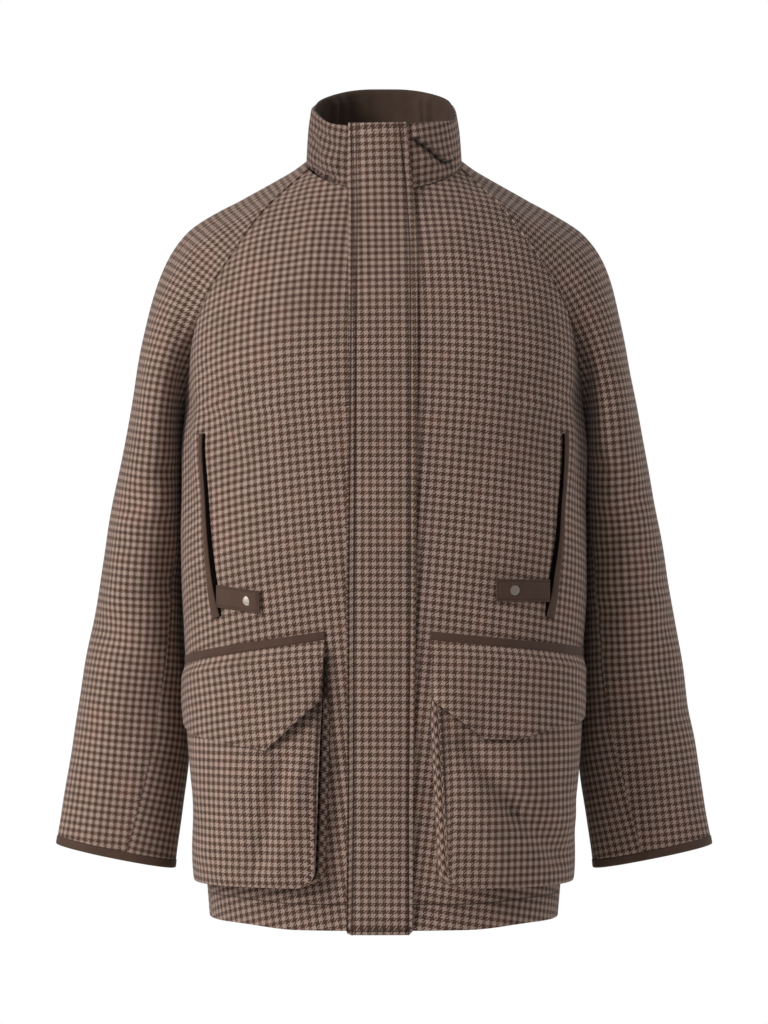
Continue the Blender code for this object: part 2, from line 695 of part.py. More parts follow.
def pocket_distance(side, share, height):
    """Distance from the centre front at a share of the way across the pocket, at a height."""
    inner_top, inner_bottom, outer_top, outer_bottom = POCKETS[side]
    down = (height - TRIM_INNER_Z) / (BAG_BOTTOM_Z - TRIM_INNER_Z)
    inner = inner_top + (inner_bottom - inner_top) * np.clip(down, 0.0, 1.0)
    outer = outer_top + (outer_bottom - outer_top) * np.clip(down, 0.0, 1.0)
    return inner + (outer - inner) * share


def bag_stand(share, height):
    """How far the bag's outer face stands off the front."""
    mouth = trim_line(share) - MOUTH_BELOW_TRIM
    down = (height - mouth) / (BAG_BOTTOM_Z - mouth)
    stand = BAG_MOUTH_STAND + (BAG_STAND - BAG_MOUTH_STAND) * smooth(0.0, 0.6, down)
    crown = BAG_CROWN * np.sin(math.pi * np.clip(share, 0.0, 1.0)) * smooth(0.0, 0.3, down)
    return stand + crown


def bag_bottom(side, share):
    """Height of the bag's lower edge, round at its two corners."""
    inner, outer = pocket_distance(side, 0.0, BAG_BOTTOM_Z), pocket_distance(side, 1.0, BAG_BOTTOM_Z)
    edge = np.minimum(share, 1.0 - share) * (outer - inner)
    into = np.clip(1.0 - edge / BAG_CORNER, 0.0, 1.0)
    return BAG_BOTTOM_Z + BAG_CORNER * (1.0 - np.sqrt(1.0 - into ** 2))


BAG_SHARES = np.concatenate(((0.0, 0.03), np.linspace(0.10, 0.90, 13), (0.97, 1.0)))


def make_cargo_pocket(side):
    """Bellows pocket: trim, bag, gusset round three sides, and the pointed flap."""
    share = BAG_SHARES[None, :]
    trim_z = trim_line(share) + TRIM_HEIGHT * np.array((0.0, 1.0))[:, None]
    trim_share = np.broadcast_to(share, trim_z.shape)
    place = front_place(pocket_distance(side, trim_share, trim_z), trim_z, side)
    lay("cargo_trim", side, place, LAY_GAP, TRIM_WALL, TRIM)

    mouth, bottom = trim_line(share) - MOUTH_BELOW_TRIM, bag_bottom(side, share)
    down = np.linspace(0.0, 1.0, 9)[:, None]
    bag_z = mouth + (bottom - mouth) * down
    bag_share = np.broadcast_to(share, bag_z.shape)
    place = front_place(pocket_distance(side, bag_share, bag_z), bag_z, side)
    lay("cargo_pocket", side, place, bag_stand(bag_share, bag_z) - WALL, WALL, TWEED)

    inner_drop, point_drop, outer_drop = FLAP_DROPS
    drop = np.interp(share, (0.0, FLAP_POINT_SHARE[side], 1.0), (inner_drop, point_drop, outer_drop))
    below = drop * np.linspace(0.0, 1.0, 7)[:, None] + SEAM_GAP
    flap_z = trim_line(share) - below
    width = pocket_distance(side, 1.0, flap_z) - pocket_distance(side, 0.0, flap_z)
    flap_share = share + (2 * share - 1) * FLAP_OVERHANG / width * smooth(0.0, FLAP_RAMP, below)
    place = front_place(pocket_distance(side, flap_share, flap_z), flap_z, side)
    over = bag_stand(share, flap_z) + FLAP_CLEARANCE
    lay("cargo_flap", side, place, LAY_GAP + (over - LAY_GAP) * smooth(0.0, FLAP_RAMP, below), DOUBLE_WALL,
        TWEED)
    make_gusset(side)


def make_gusset(side):
    """The bellows strip that joins the bag's sides and bottom to the front, folded inwards."""
    steps = np.linspace(0.0, 1.0, 8)[:-1]
    mouth_inner, mouth_outer = (trim_line(end) - MOUTH_BELOW_TRIM for end in (0.0, 1.0))
    ends = bag_bottom(side, np.zeros(1))[0]
    path = [(0.0, mouth_inner + (ends - mouth_inner) * step) for step in steps]
    path += [(share, bag_bottom(side, np.array((share,)))[0]) for share in BAG_SHARES]
    path += [(1.0, mouth_outer + (ends - mouth_outer) * step) for step in steps[::-1]]
    share, height = np.array(path).T
    distance = pocket_distance(side, share, height)
    flat = np.stack((distance, height), axis=-1)
    ahead = unit(np.gradient(flat, axis=0))
    inward = np.stack((-ahead[:, 1], ahead[:, 0]), axis=-1)
    tall = bag_stand(share, height) - WALL - LAY_GAP - SEAM_GAP
    grids = []
    for depth in (GUSSET_INSET, GUSSET_INSET + TRIM_WALL):
        columns = []
        for level, fold in ((0.0, 0.0), (0.5, 1.0), (1.0, 0.0)):
            place = flat + inward * (depth + fold * GUSSET_FOLD * np.clip(tall / BAG_STAND, 0.0, 1.0)[:, None])
            points, normals = front_place(place[:, 0], place[:, 1], side)
            columns.append(points + normals * (LAY_GAP + tall * level)[:, None])
        grids.append(np.stack(columns, axis=1))
    cloth_wall(side_name("cargo_gusset", side), grids[0], grids[1], TWEED, side)


def make_handwarmer(side):
    """Upright pocket: a brown welt, its tab and the tab's snap."""
    x, height = np.array(WELT_PATH).T
    line = np.linspace(0.0, 1.0, 12)
    knots = np.linspace(0.0, 1.0, len(x))
    path = np.stack((distance_at(x, height), height), axis=-1)
    path = through(knots, np.repeat(path[:, None, :], len(line), axis=1), line)
    ahead = unit(np.gradient(path, axis=0))
    across = np.stack((-ahead[:, 1], ahead[:, 0]), axis=-1)
    grid = path[:, None, :] + across[:, None, :] * WELT_WIDTH * np.array((-0.5, 0.0, 0.5))[None, :, None]
    place = front_place(grid[..., 0], grid[..., 1], side)
    lay("handwarmer_welt", side, place, LAY_GAP, WELT_WALL, TRIM)

    inner_x, outer_x, inner_z, outer_z, snap_x = TABS[side]
    ends = distance_at(np.array((inner_x, outer_x)), np.array((inner_z, outer_z)))
    run = np.linspace(0.0, 1.0, 6)[None, :]
    middle = inner_z + (outer_z - inner_z) * run
    tab_z = middle + TAB_WIDTH * np.linspace(-0.5, 0.5, 3)[:, None]
    tab_distance = np.broadcast_to(ends[0] + (ends[1] - ends[0]) * run, tab_z.shape)
    place = front_place(tab_distance, tab_z, side)
    lay("handwarmer_tab", side, place, LAY_GAP, TRIM_WALL, TRIM)

    snap_z = inner_z + (outer_z - inner_z) * (snap_x - inner_x) / (outer_x - inner_x)
    point, normal = front_place(distance_at(snap_x, snap_z), snap_z, side)
    flip = np.array((side, 1.0, 1.0))
    build = bmesh.new()
    bmesh.ops.create_cone(build, cap_ends=True, segments=20, radius1=SNAP_RADIUS, radius2=SNAP_RADIUS * 0.8,
                          depth=SNAP_HEIGHT)
    mesh = bpy.data.meshes.new(side_name("tab_snap", side))
    build.to_mesh(mesh)
    build.free()
    snap = add_object(side_name("tab_snap", side), mesh, METAL)
    lift = LAY_GAP + TRIM_WALL + SEAM_GAP + SNAP_HEIGHT / 2
    snap.location = (point + normal * lift) * flip
    snap.rotation_mode = "QUATERNION"
    snap.rotation_quaternion = Vector(normal * flip).to_track_quat("Z", "Y")


def main():
    for old in list(bpy.data.objects):
        bpy.data.objects.remove(old)
    coat = bpy.data.collections.new("field_coat")
    bpy.context.scene.collection.children.link(coat)
    coat.objects.link(bpy.data.objects.new("wearer_shoulders", None))
    make_collar()
    make_storm_flap()
    for side in (1, -1):
        make_front(side)
        make_back(side)
        make_sleeve(side)
        make_cargo_pocket(side)
        make_handwarmer(side)


main()
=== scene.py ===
# %% [markdown]
# A field coat of checked wool
#
# The coat is hollow, as it is worn, and hangs in the air where its wearer's shoulders would carry it.
# Its pieces follow a set of solids that already have the right size and place. This lesson makes each
# piece again as fine cloth on the same surface formulas, and gives it weave, stitches and creases.

# %% Load the solids
import math

import bmesh
import bpy
import numpy as np
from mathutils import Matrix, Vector


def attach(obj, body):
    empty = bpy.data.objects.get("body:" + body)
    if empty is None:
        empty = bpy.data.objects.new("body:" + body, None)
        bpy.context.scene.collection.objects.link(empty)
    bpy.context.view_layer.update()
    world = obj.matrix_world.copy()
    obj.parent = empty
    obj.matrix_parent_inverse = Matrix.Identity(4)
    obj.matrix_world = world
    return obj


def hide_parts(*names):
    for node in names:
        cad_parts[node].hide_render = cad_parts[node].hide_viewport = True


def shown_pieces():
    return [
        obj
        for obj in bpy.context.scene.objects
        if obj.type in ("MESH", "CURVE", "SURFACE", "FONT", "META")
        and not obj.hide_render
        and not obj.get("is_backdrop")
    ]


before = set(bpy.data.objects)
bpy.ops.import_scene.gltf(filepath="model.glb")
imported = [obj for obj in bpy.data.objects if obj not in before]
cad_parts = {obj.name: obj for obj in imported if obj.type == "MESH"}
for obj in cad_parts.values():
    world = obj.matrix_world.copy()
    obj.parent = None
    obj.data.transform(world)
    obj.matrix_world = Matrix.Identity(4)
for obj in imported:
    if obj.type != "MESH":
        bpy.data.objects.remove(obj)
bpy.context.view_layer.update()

# %% [markdown]
# The camera stands level with the middle of the coat and far away, with a long lens, as a product
# photographer sets it up so that the front looks flat and even. A long lens could be had by zooming a
# close camera too, but that would make the pockets look too big.

# %% Camera
CAMERA_AWAY = 4.0
CAMERA_HEIGHT = -0.377
VIEW_ANGLE = math.radians(15.74)

camera = bpy.data.objects.new("camera", bpy.data.cameras.new("camera"))
bpy.context.scene.collection.objects.link(camera)
camera.location = (0.0, -CAMERA_AWAY, CAMERA_HEIGHT)
camera.rotation_euler = (math.pi / 2, 0.0, 0.0)
camera.data.lens = camera.data.sensor_width / 2 / math.tan(VIEW_ANGLE / 2)
bpy.context.scene.camera = camera
print(f"lens {camera.data.lens:.0f} mm")

# %% [markdown]
# Soft studio light: a large lamp in front and to the left, a weaker one to the right, and a pale room
# all round. The backdrop is seen as pure white, but lights the coat less than that, or its edges
# would glow. A pale floor lies well below the hem.

# %% Light and floor
FLOOR_Z = -1.45
FLOOR_RADIUS = 2.4
FLOOR_SIDES = 96
ROOM_STRENGTH = 0.28
WHITE = (1.0, 1.0, 1.0, 1.0)
LAMPS = (
    # name, place, size, power
    ("key_lamp", (-2.85, -2.1, 0.85), 1.1, 117.0),
    ("fill_lamp", (3.1, 0.4, 0.35), 1.6, 31.0),
    ("top_lamp", (0.4, -1.2, 2.4), 1.4, 6.0),
    ("back_lamp", (0.6, 2.8, 0.9), 1.8, 26.0),
)
AIM = Vector((0.0, 0.0, -0.36))

for name, place, size, power in LAMPS:
    lamp = bpy.data.objects.new(name, bpy.data.lights.new(name, "AREA"))
    lamp.data.size = size
    lamp.data.energy = power
    lamp.location = place
    lamp.rotation_mode = "QUATERNION"
    lamp.rotation_quaternion = (AIM - Vector(place)).to_track_quat("-Z", "Y")
    bpy.context.scene.collection.objects.link(lamp)

world = bpy.data.worlds.new("studio")
bpy.context.scene.world = world
world.use_nodes = True
sky = world.node_tree
room = sky.nodes["Background"]
room.inputs["Strength"].default_value = ROOM_STRENGTH
backdrop = sky.nodes.new("ShaderNodeBackground")
for light in (room, backdrop):
    light.inputs["Color"].default_value = WHITE
path = sky.nodes.new("ShaderNodeLightPath")
either = sky.nodes.new("ShaderNodeMixShader")
sky.links.new(path.outputs["Is Camera Ray"], either.inputs[0])
sky.links.new(room.outputs[0], either.inputs[1])
sky.links.new(backdrop.outputs[0], either.inputs[2])
sky.links.new(either.outputs[0], sky.nodes["World Output"].inputs["Surface"])
bpy.context.scene.view_settings.view_transform = "Standard"

bpy.ops.mesh.primitive_circle_add(vertices=FLOOR_SIDES, radius=FLOOR_RADIUS, fill_type="NGON",
                                  location=(0.0, 0.0, FLOOR_Z))
floor = bpy.context.object
floor.name = "floor"
floor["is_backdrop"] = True
print("lamps:", len(LAMPS))

# %% [markdown]
# Materials are built from nodes. Two small helpers add a node and a sum, so that each recipe below
# reads as a list of steps.

# %% Node helpers
VIEWPORT_BROWN = (0.2, 0.15, 0.12, 1.0)


def add_node(tree, kind, inputs=None, **settings):
    """Add a node; an input's value is a number, a colour or another node's output."""
    node = tree.nodes.new(kind)
    for name, value in settings.items():
        setattr(node, name, value)
    for name, value in (inputs or {}).items():
        if isinstance(value, bpy.types.NodeSocket):
            tree.links.new(value, node.inputs[name])
        else:
            node.inputs[name].default_value = value
    return node


def maths(tree, operation, first, second=0.0):
    """The output of a sum of two numbers or outputs."""
    return add_node(tree, "ShaderNodeMath", {0: first, 1: second}, operation=operation).outputs[0]


def blend_colour(tree, share, first, second, how="MIX"):
    """The output of a blend of two colours."""
    mix = add_node(tree, "ShaderNodeMix", data_type="RGBA", blend_type=how)
    for socket, value in ((mix.inputs[0], share), (mix.inputs[6], first), (mix.inputs[7], second)):
        if isinstance(value, bpy.types.NodeSocket):
            tree.links.new(value, socket)
        else:
            socket.default_value = value
    return mix.outputs[2]


def colour(red, green, blue):
    """A screen colour from 0 to 255, as the linear values that a shader takes."""
    parts = [value / 255.0 for value in (red, green, blue)]
    linear = [p / 12.92 if p < 0.04045 else ((p + 0.055) / 1.055) ** 2.4 for p in parts]
    return (*linear, 1.0)


def new_material(name, finish):
    """A material with a Principled shader; finish names the sockets that are the same all over."""
    material = bpy.data.materials.new(name)
    material.use_nodes = True
    material.diffuse_color = VIEWPORT_BROWN
    shader = material.node_tree.nodes["Principled BSDF"]
    for socket, value in finish.items():
        shader.inputs[socket].default_value = value
    return material, material.node_tree, shader


print("node helpers ready")

# %% [markdown]
# The wool is woven, not printed. Six dark threads and six light ones take turns in both directions, in
# a twill that repeats after five threads. Where dark crosses dark the cloth is dark, and where dark
# crosses light fine slanting lines mix the two. A picture of the cloth would be quicker, but it would
# blur close up, so the nodes weave it thread by thread from the cloth's own flat coordinates, which are
# in metres. Shade is painted into the wool in the grooves under the sewing, in deep folds, in the pocket
# slots, under the flaps' edges and on the collar's left part: the nodes darken its colour by a value stored
# at each point.

# %% Tweed
THREAD = 0.00065
BAND = 6
TWILL = 5
DARK_LEAD = 0.50
TWILL_LIGHT = -0.05
TWILL_DEPTH = -0.18
DARK_WOOL = colour(75, 54, 43)
LIGHT_WOOL = colour(163, 140, 128)
RUST_WOOL = colour(112, 62, 48)
OLIVE_WOOL = colour(112, 104, 76)
PAINTED_SHADE_STRENGTH = 0.80
PATCH_SCALE = 38.0
WARM_PATCHES = {1: 0.52, 2: 0.72, 4: 0.30}
COOL_PATCHES = {1: 0.46, 2: 0.28, 4: 0.22}
THREAD_TONES = {3: 0.80, 4: 1.16}
FUZZ_SCALE = 900.0
FUZZ_HEIGHT = 0.8
WEAVE_BUMP = {"Strength": 0.30, "Distance": 0.0004}
WOOL_FINISH = {"Roughness": 0.92, "Specular IOR Level": 0.18, "Sheen Weight": 0.12, "Sheen Roughness": 0.45}


def weave_tweed():
    """The wool's material: which thread lies on top at each place, its colour and its roundness."""
    material, tree, shader = new_material("tweed", WOOL_FINISH)
    cloth = add_node(tree, "ShaderNodeUVMap", uv_map="cloth")
    flat = add_node(tree, "ShaderNodeSeparateXYZ", {0: cloth.outputs[0]})
    places = [maths(tree, "DIVIDE", flat.outputs[axis], THREAD) for axis in (0, 1)]
    warp, weft = (maths(tree, "FLOOR", place) for place in places)
    dark = []
    tone = []
    for thread in (warp, weft):
        turn = maths(tree, "FLOORED_MODULO", thread, 2 * BAND)
        dark.append(maths(tree, "LESS_THAN", turn, BAND))
        noise = add_node(tree, "ShaderNodeTexWhiteNoise", {"W": thread}, noise_dimensions="1D")
        tone.append(noise.outputs["Value"])
    step = maths(tree, "FLOORED_MODULO", maths(tree, "SUBTRACT", *places), TWILL)
    contrast = maths(tree, "SUBTRACT", *dark)
    lead = maths(tree, "MULTIPLY", contrast, DARK_LEAD)
    warp_on_top = maths(tree, "LESS_THAN", step, maths(tree, "ADD", lead, TWILL / 2))

    def pick(pair):
        """The value of the thread that lies on top."""
        over = maths(tree, "MULTIPLY", warp_on_top, pair[0])
        under = maths(tree, "MULTIPLY", maths(tree, "SUBTRACT", 1.0, warp_on_top), pair[1])
        return maths(tree, "ADD", over, under)

    place = add_node(tree, "ShaderNodeTexCoord").outputs["Object"]
    patches = add_node(tree, "ShaderNodeTexNoise", {"Vector": place, "Scale": PATCH_SCALE, "Detail": 2.0})
    warm = add_node(tree, "ShaderNodeMapRange", {0: patches.outputs["Fac"], **WARM_PATCHES})
    cool = add_node(tree, "ShaderNodeMapRange", {0: patches.outputs["Fac"], **COOL_PATCHES})
    light = blend_colour(tree, cool.outputs[0], LIGHT_WOOL, OLIVE_WOOL)
    deep = blend_colour(tree, warm.outputs[0], DARK_WOOL, RUST_WOOL)
    shown = pick(dark)
    woven = blend_colour(tree, shown, light, deep)
    ribbed = maths(tree, "SUBTRACT", TWILL_LIGHT, maths(tree, "MULTIPLY", shown, TWILL_DEPTH))
    ribbed = maths(tree, "ADD", 1.0, maths(tree, "MULTIPLY", ribbed, maths(tree, "ABSOLUTE", contrast, 0.0)))
    worn = add_node(tree, "ShaderNodeMapRange", {0: pick(tone), **THREAD_TONES})
    # Painted shade: the stored value darkens the wool in sewing grooves, folds, slots and under flap edges.
    pressed_and_painted_shade = add_node(tree, "ShaderNodeAttribute", attribute_name="pressed_and_painted_shade").outputs["Fac"]
    shade = maths(tree, "SUBTRACT", 1.0, maths(tree, "MULTIPLY", pressed_and_painted_shade, PAINTED_SHADE_STRENGTH))
    shade = maths(tree, "MULTIPLY", maths(tree, "MULTIPLY", shade, ribbed), worn.outputs[0])
    tree.links.new(blend_colour(tree, 1.0, woven, shade, "MULTIPLY"), shader.inputs["Base Color"])

    rounds = []
    for flat_place in places:
        half = maths(tree, "SUBTRACT", maths(tree, "FRACT", flat_place), 0.5)
        fall = maths(tree, "MULTIPLY", half, maths(tree, "MULTIPLY", half, 4.0))
        rounds.append(maths(tree, "SUBTRACT", 1.0, fall))
    fuzz = add_node(tree, "ShaderNodeTexNoise", {"Vector": place, "Scale": FUZZ_SCALE, "Detail": 2.0})
    height = maths(tree, "ADD", pick(rounds), maths(tree, "MULTIPLY", fuzz.outputs["Fac"], FUZZ_HEIGHT))
    bump = add_node(tree, "ShaderNodeBump", {"Height": height, **WEAVE_BUMP})
    tree.links.new(bump.outputs[0], shader.inputs["Normal"])
    return material


TWEED = weave_tweed()
print("check repeat:", round(2 * BAND * THREAD * 1000, 1), "mm")

# %% [markdown]
# The brown trim and the collar's facing are smooth cotton with a fine twill. A little noise keeps their
# colour from looking flat. The snaps are nickel, and the sewing thread matches the dark wool.

# %% Trim, facing, thread and metal
TRIM_BROWN = colour(76, 55, 44)
FACING_BROWN = colour(67, 50, 40)
# Near-black colour of the painted shadow strip inside the pocket slits.
SLIT_SHADOW_BROWN = colour(12, 9, 8)
THREAD_BROWN = colour(72, 54, 44)
NICKEL = colour(158, 148, 140)
FINE_TWILL = 900.0
FLOOR_FINISH = {"Base Color": (0.86, 0.86, 0.85, 1.0), "Roughness": 0.7}


def dye_cloth(name, dye, roughness, mottle, gloss=0.25, sheen=0.10):
    """A plain dyed cloth with a fine twill, whose colour varies by mottle."""
    finish = {
        "Roughness": roughness,
        "Specular IOR Level": gloss,
        "Sheen Weight": sheen,
        "Sheen Roughness": 0.5,
    }
    material, tree, shader = new_material(name, finish)
    place = add_node(tree, "ShaderNodeTexCoord").outputs["Object"]
    cloud = add_node(tree, "ShaderNodeTexNoise", {"Vector": place, "Scale": 60.0, "Detail": 5.0})
    tone = add_node(tree, "ShaderNodeMapRange",
                    {0: cloud.outputs["Fac"], 1: 0.3, 2: 0.7, 3: 1 - mottle, 4: 1 + mottle})
    tree.links.new(blend_colour(tree, 1.0, dye, tone.outputs[0], "MULTIPLY"), shader.inputs["Base Color"])
    cloth = add_node(tree, "ShaderNodeUVMap", uv_map="cloth")
    ribs = add_node(tree, "ShaderNodeTexWave",
                    {"Vector": cloth.outputs[0], "Scale": FINE_TWILL, "Distortion": 0.6},
                    bands_direction="DIAGONAL")
    bump = add_node(tree, "ShaderNodeBump",
                    {"Strength": 0.22, "Distance": 0.0002, "Height": ribs.outputs["Fac"]})
    tree.links.new(bump.outputs[0], shader.inputs["Normal"])
    return material


def polish_metal():
    finish = {"Metallic": 1.0, "Base Color": NICKEL}
    material, tree, shader = new_material("snap_metal", finish)
    place = add_node(tree, "ShaderNodeTexCoord").outputs["Object"]
    wear = add_node(tree, "ShaderNodeTexNoise", {"Vector": place, "Scale": 700.0, "Detail": 4.0})
    rough = add_node(tree, "ShaderNodeMapRange", {0: wear.outputs["Fac"], 3: 0.42, 4: 0.62})
    tree.links.new(rough.outputs[0], shader.inputs["Roughness"])
    return material


TRIM = dye_cloth("brown_trim", TRIM_BROWN, 0.78, 0.10)
FACING = dye_cloth("facing", FACING_BROWN, 0.85, 0.14)
# The slit strip is a painted shadow: a matte near-black cloth that stands for the shade in the slit.
SLIT_SHADOW = dye_cloth("slit_painted_shadow", SLIT_SHADOW_BROWN, 1.0, 0.20, gloss=0.0, sheen=0.0)
SEWING = dye_cloth("sewing_thread", THREAD_BROWN, 0.70, 0.12)
METAL = polish_metal()
FLOOR_PAINT = new_material("floor_paint", FLOOR_FINISH)[0]
floor.data.materials.append(FLOOR_PAINT)
print("materials:", len(bpy.data.materials))

# %% [markdown]
# Cloth follows smooth formulas. These helpers blend softly between two values, read a smooth curve
# through a short table, and find the direction out of a surface.

# %% Curve helpers
SMALL = 1e-4
NOT_ZERO = 1e-12


def smooth(start, end, value):
    """0 before start, 1 after end, with a soft step between."""
    share = np.clip((value - start) / (end - start), 0.0, 1.0)
    return share * share * (3.0 - 2.0 * share)


def unit(vectors):
    """Vectors of length 1 in the same directions."""
    return vectors / np.maximum(np.linalg.norm(vectors, axis=-1, keepdims=True), NOT_ZERO)


def on_side(points, side):
    """Points that were worked out for the left, moved to the side that they are for."""
    return points * np.array((side, 1.0, 1.0))


def through(knots, rows, at, last_slope=None):
    """Read a smooth curve through rows[knot, point, value] at one place for each point."""
    steps = np.diff(knots)[:, None, None]
    chords = np.diff(rows, axis=0) / steps
    slopes = np.empty_like(rows)
    slopes[0] = chords[0]
    slopes[-1] = chords[-1] if last_slope is None else last_slope
    slopes[1:-1] = (chords[:-1] * steps[1:] + chords[1:] * steps[:-1]) / (steps[1:] + steps[:-1])
    row = np.clip(np.searchsorted(knots, at, side="right") - 1, 0, len(knots) - 2)
    point = np.arange(len(at))
    step = np.diff(knots)[row][:, None]
    t = (at - knots[row])[:, None] / step
    start = (1 + 2 * t) * (1 - t) ** 2 * rows[row, point] + t * (1 - t) ** 2 * step * slopes[row, point]
    end = t * t * (3 - 2 * t) * rows[row + 1, point] + t * t * (t - 1) * step * slopes[row + 1, point]
    return start + end


def read_table(table, at, last_slope=None):
    """Read the columns of a table at the places in its first column."""
    table = np.array(table, dtype=float)
    at = np.atleast_1d(np.asarray(at, dtype=float))
    rows = np.repeat(table[:, None, 1:], len(at), axis=1)
    return through(table[:, 0], rows, at, last_slope)


def outward(surface, first, second):
    """Unit normals of surface(first, second), pointing out of the coat."""
    across = surface(first + SMALL, second) - surface(first - SMALL, second)
    along = surface(first, second + SMALL) - surface(first, second - SMALL)
    return unit(np.cross(across, along))


print("soft step at a quarter:", smooth(0.0, 1.0, 0.25))

# %% [markdown]
# Creases are soft troughs and ridges, laid along short lines. Each row of a table is one
# crease: where it starts and ends as seen from the front, how wide it is, and how far it goes in (below
# zero) or out. Sculpting by hand would do as well, but a table can be read and changed.

# %% Creases
BODY_CREASES = (
    # x0, z0, x1, z1, width, depth
    (-0.196, -0.262, -0.150, -0.330, 0.014, -0.0035),
    (-0.190, -0.235, -0.128, -0.275, 0.012, -0.0022),
    (0.200, -0.255, 0.150, -0.345, 0.015, -0.0032),
    (0.193, -0.225, 0.132, -0.262, 0.012, -0.0020),
    (-0.160, -0.420, -0.085, -0.455, 0.022, 0.0016),
    (0.172, -0.400, 0.090, -0.440, 0.024, 0.0016),
    (-0.070, -0.090, -0.105, -0.200, 0.020, 0.0016),
    (0.068, -0.085, 0.110, -0.190, 0.020, 0.0018),
    (-0.055, -0.640, -0.050, -0.800, 0.012, -0.0018),
    (0.050, -0.660, 0.046, -0.800, 0.012, -0.0018),
)
BACK_CREASES = (
    # x0, z0, x1, z1, width, depth
    (-0.190, -0.270, -0.110, -0.400, 0.020, -0.0040),
    (0.188, -0.262, 0.120, -0.420, 0.020, -0.0040),
    (-0.150, -0.520, -0.020, -0.560, 0.024, -0.0028),
    (0.150, -0.545, 0.030, -0.590, 0.024, -0.0028),
    (-0.060, -0.080, -0.120, -0.210, 0.022, 0.0022),
    (0.060, -0.085, 0.125, -0.205, 0.022, 0.0022),
    (-0.090, -0.660, -0.105, -0.800, 0.022, 0.0030),
    (0.075, -0.640, 0.095, -0.800, 0.022, 0.0030),
)
SLEEVE_CREASES = (
    # x0, z0, x1, z1, width, depth
    (-0.236, -0.335, -0.266, -0.372, 0.011, -0.0034),
    (-0.236, -0.392, -0.272, -0.412, 0.012, -0.0026),
    (-0.232, -0.455, -0.285, -0.492, 0.014, -0.0030),
    (-0.300, -0.505, -0.246, -0.532, 0.013, -0.0024),
    (-0.240, -0.570, -0.300, -0.588, 0.014, 0.0018),
    (0.236, -0.328, 0.268, -0.362, 0.011, -0.0034),
    (0.236, -0.388, 0.274, -0.420, 0.013, -0.0028),
    (0.292, -0.452, 0.236, -0.486, 0.014, -0.0030),
    (0.238, -0.518, 0.300, -0.545, 0.013, -0.0024),
    (0.310, -0.580, 0.250, -0.602, 0.014, 0.0018),
)
RIPPLES = (
    # waves across each metre along x, y and z, start, height
    ((3.1, 1.7, 5.3), 0.4, 0.00050),
    ((-7.2, 2.3, 4.1), 1.9, 0.00035),
    ((9.5, -6.1, -7.4), 3.1, 0.00022),
    ((-4.3, 11.2, 13.7), 5.2, 0.00016),
)


def crease_depth(points, table):
    """How far creases move points out, by their distance from each crease's line."""
    depth = np.zeros(points.shape[:-1])
    place = points[..., (0, 2)]
    for x0, z0, x1, z1, width, amount in table:
        start, way = np.array((x0, z0)), np.array((x1 - x0, z1 - z0))
        share = np.clip(((place - start) @ way) / (way @ way), 0.0, 1.0)
        away = np.linalg.norm(place - start - share[..., None] * way, axis=-1)
        depth += amount * np.exp(-(away / width) ** 2)
    return depth


def ripple_depth(points):
    """The slight unevenness that wool keeps, as a few long waves."""
    depth = np.zeros(points.shape[:-1])
    for waves, start, height in RIPPLES:
        depth += height * np.sin(points @ (2 * math.pi * np.array(waves)) + start)
    return depth


print("creases:", len(BODY_CREASES) + len(BACK_CREASES) + len(SLEEVE_CREASES))

# %% [markdown]
# The body is one surface: rounded sections from the hem to the underarm, and from there curves that
# lean in to the neckline. Every panel and pocket reads its place from it, so nothing has to be fitted.

# %% Body surface
HEM_Z = -0.814
UNDERARM_Z = -0.265
BODY_SQUARENESS = 2.6
BODY_SECTIONS = (
    # height, half_width, front_depth, back_depth
    (HEM_Z, 0.187, 0.138, 0.132),
    (-0.700, 0.197, 0.141, 0.134),
    (-0.600, 0.2085, 0.142, 0.133),
    (-0.460, 0.2180, 0.139, 0.130),
    (UNDERARM_Z, 0.2140, 0.136, 0.134),
)
NECK_HALF_WIDTH = 0.0837
NECK_FRONT = 0.070
NECK_BACK = 0.078
NECK_FRONT_Z = -0.036
NECK_BACK_Z = 0.020
SHOULDER_SLOPE = math.radians(29.0)
CHEST_SLOPE = math.radians(68.0)
NAPE_SLOPE = math.radians(57.0)
CHEST_RISE = 0.100
SIDE_RISE = 0.050
NECK_REACH = 0.085
SIDE_REACH = 0.020
BODY_FOLDS = (
    # side, turn_degrees, height, turn_spread, height_spread, lean_degrees_per_metre, depth
    (0, 118.0, -0.42, 9.0, 0.20, 20.0, -0.006),
    (0, 142.0, -0.50, 9.0, 0.24, -15.0, 0.005),
    (-1, 166.0, -0.48, 8.0, 0.22, 10.0, -0.005),
    (1, 171.0, -0.55, 8.0, 0.18, -10.0, -0.004),
    (0, 74.0, -0.30, 8.0, 0.09, 60.0, -0.005),
)


def neckline(turn):
    """Points of the neck seam, round from the centre front."""
    depth = np.where(np.cos(turn) > 0, NECK_FRONT, NECK_BACK)
    tilt = (NECK_BACK_Z - NECK_FRONT_Z) / 2
    dip = (NECK_BACK_Z + NECK_FRONT_Z) / 2
    height = -tilt * np.cos(turn) + dip * np.cos(turn) ** 2
    return np.stack((NECK_HALF_WIDTH * np.sin(turn), -depth * np.cos(turn), height), axis=-1)


def body_section(turn, height):
    """A rounded section of the body, and the direction out of it."""
    half_width, front, back = read_table(BODY_SECTIONS, height, last_slope=0.0).T
    depth = np.where(np.cos(turn) > 0, front, back)
    power = 2.0 / BODY_SQUARENESS
    across = np.sign(np.sin(turn)) * np.abs(np.sin(turn)) ** power
    along = np.sign(np.cos(turn)) * np.abs(np.cos(turn)) ** power
    points = np.stack((half_width * across, -depth * along, height), axis=-1)
    out = np.stack((np.sin(turn) / half_width, -np.cos(turn) / depth, np.zeros_like(turn)), axis=-1)
    return points, unit(out)


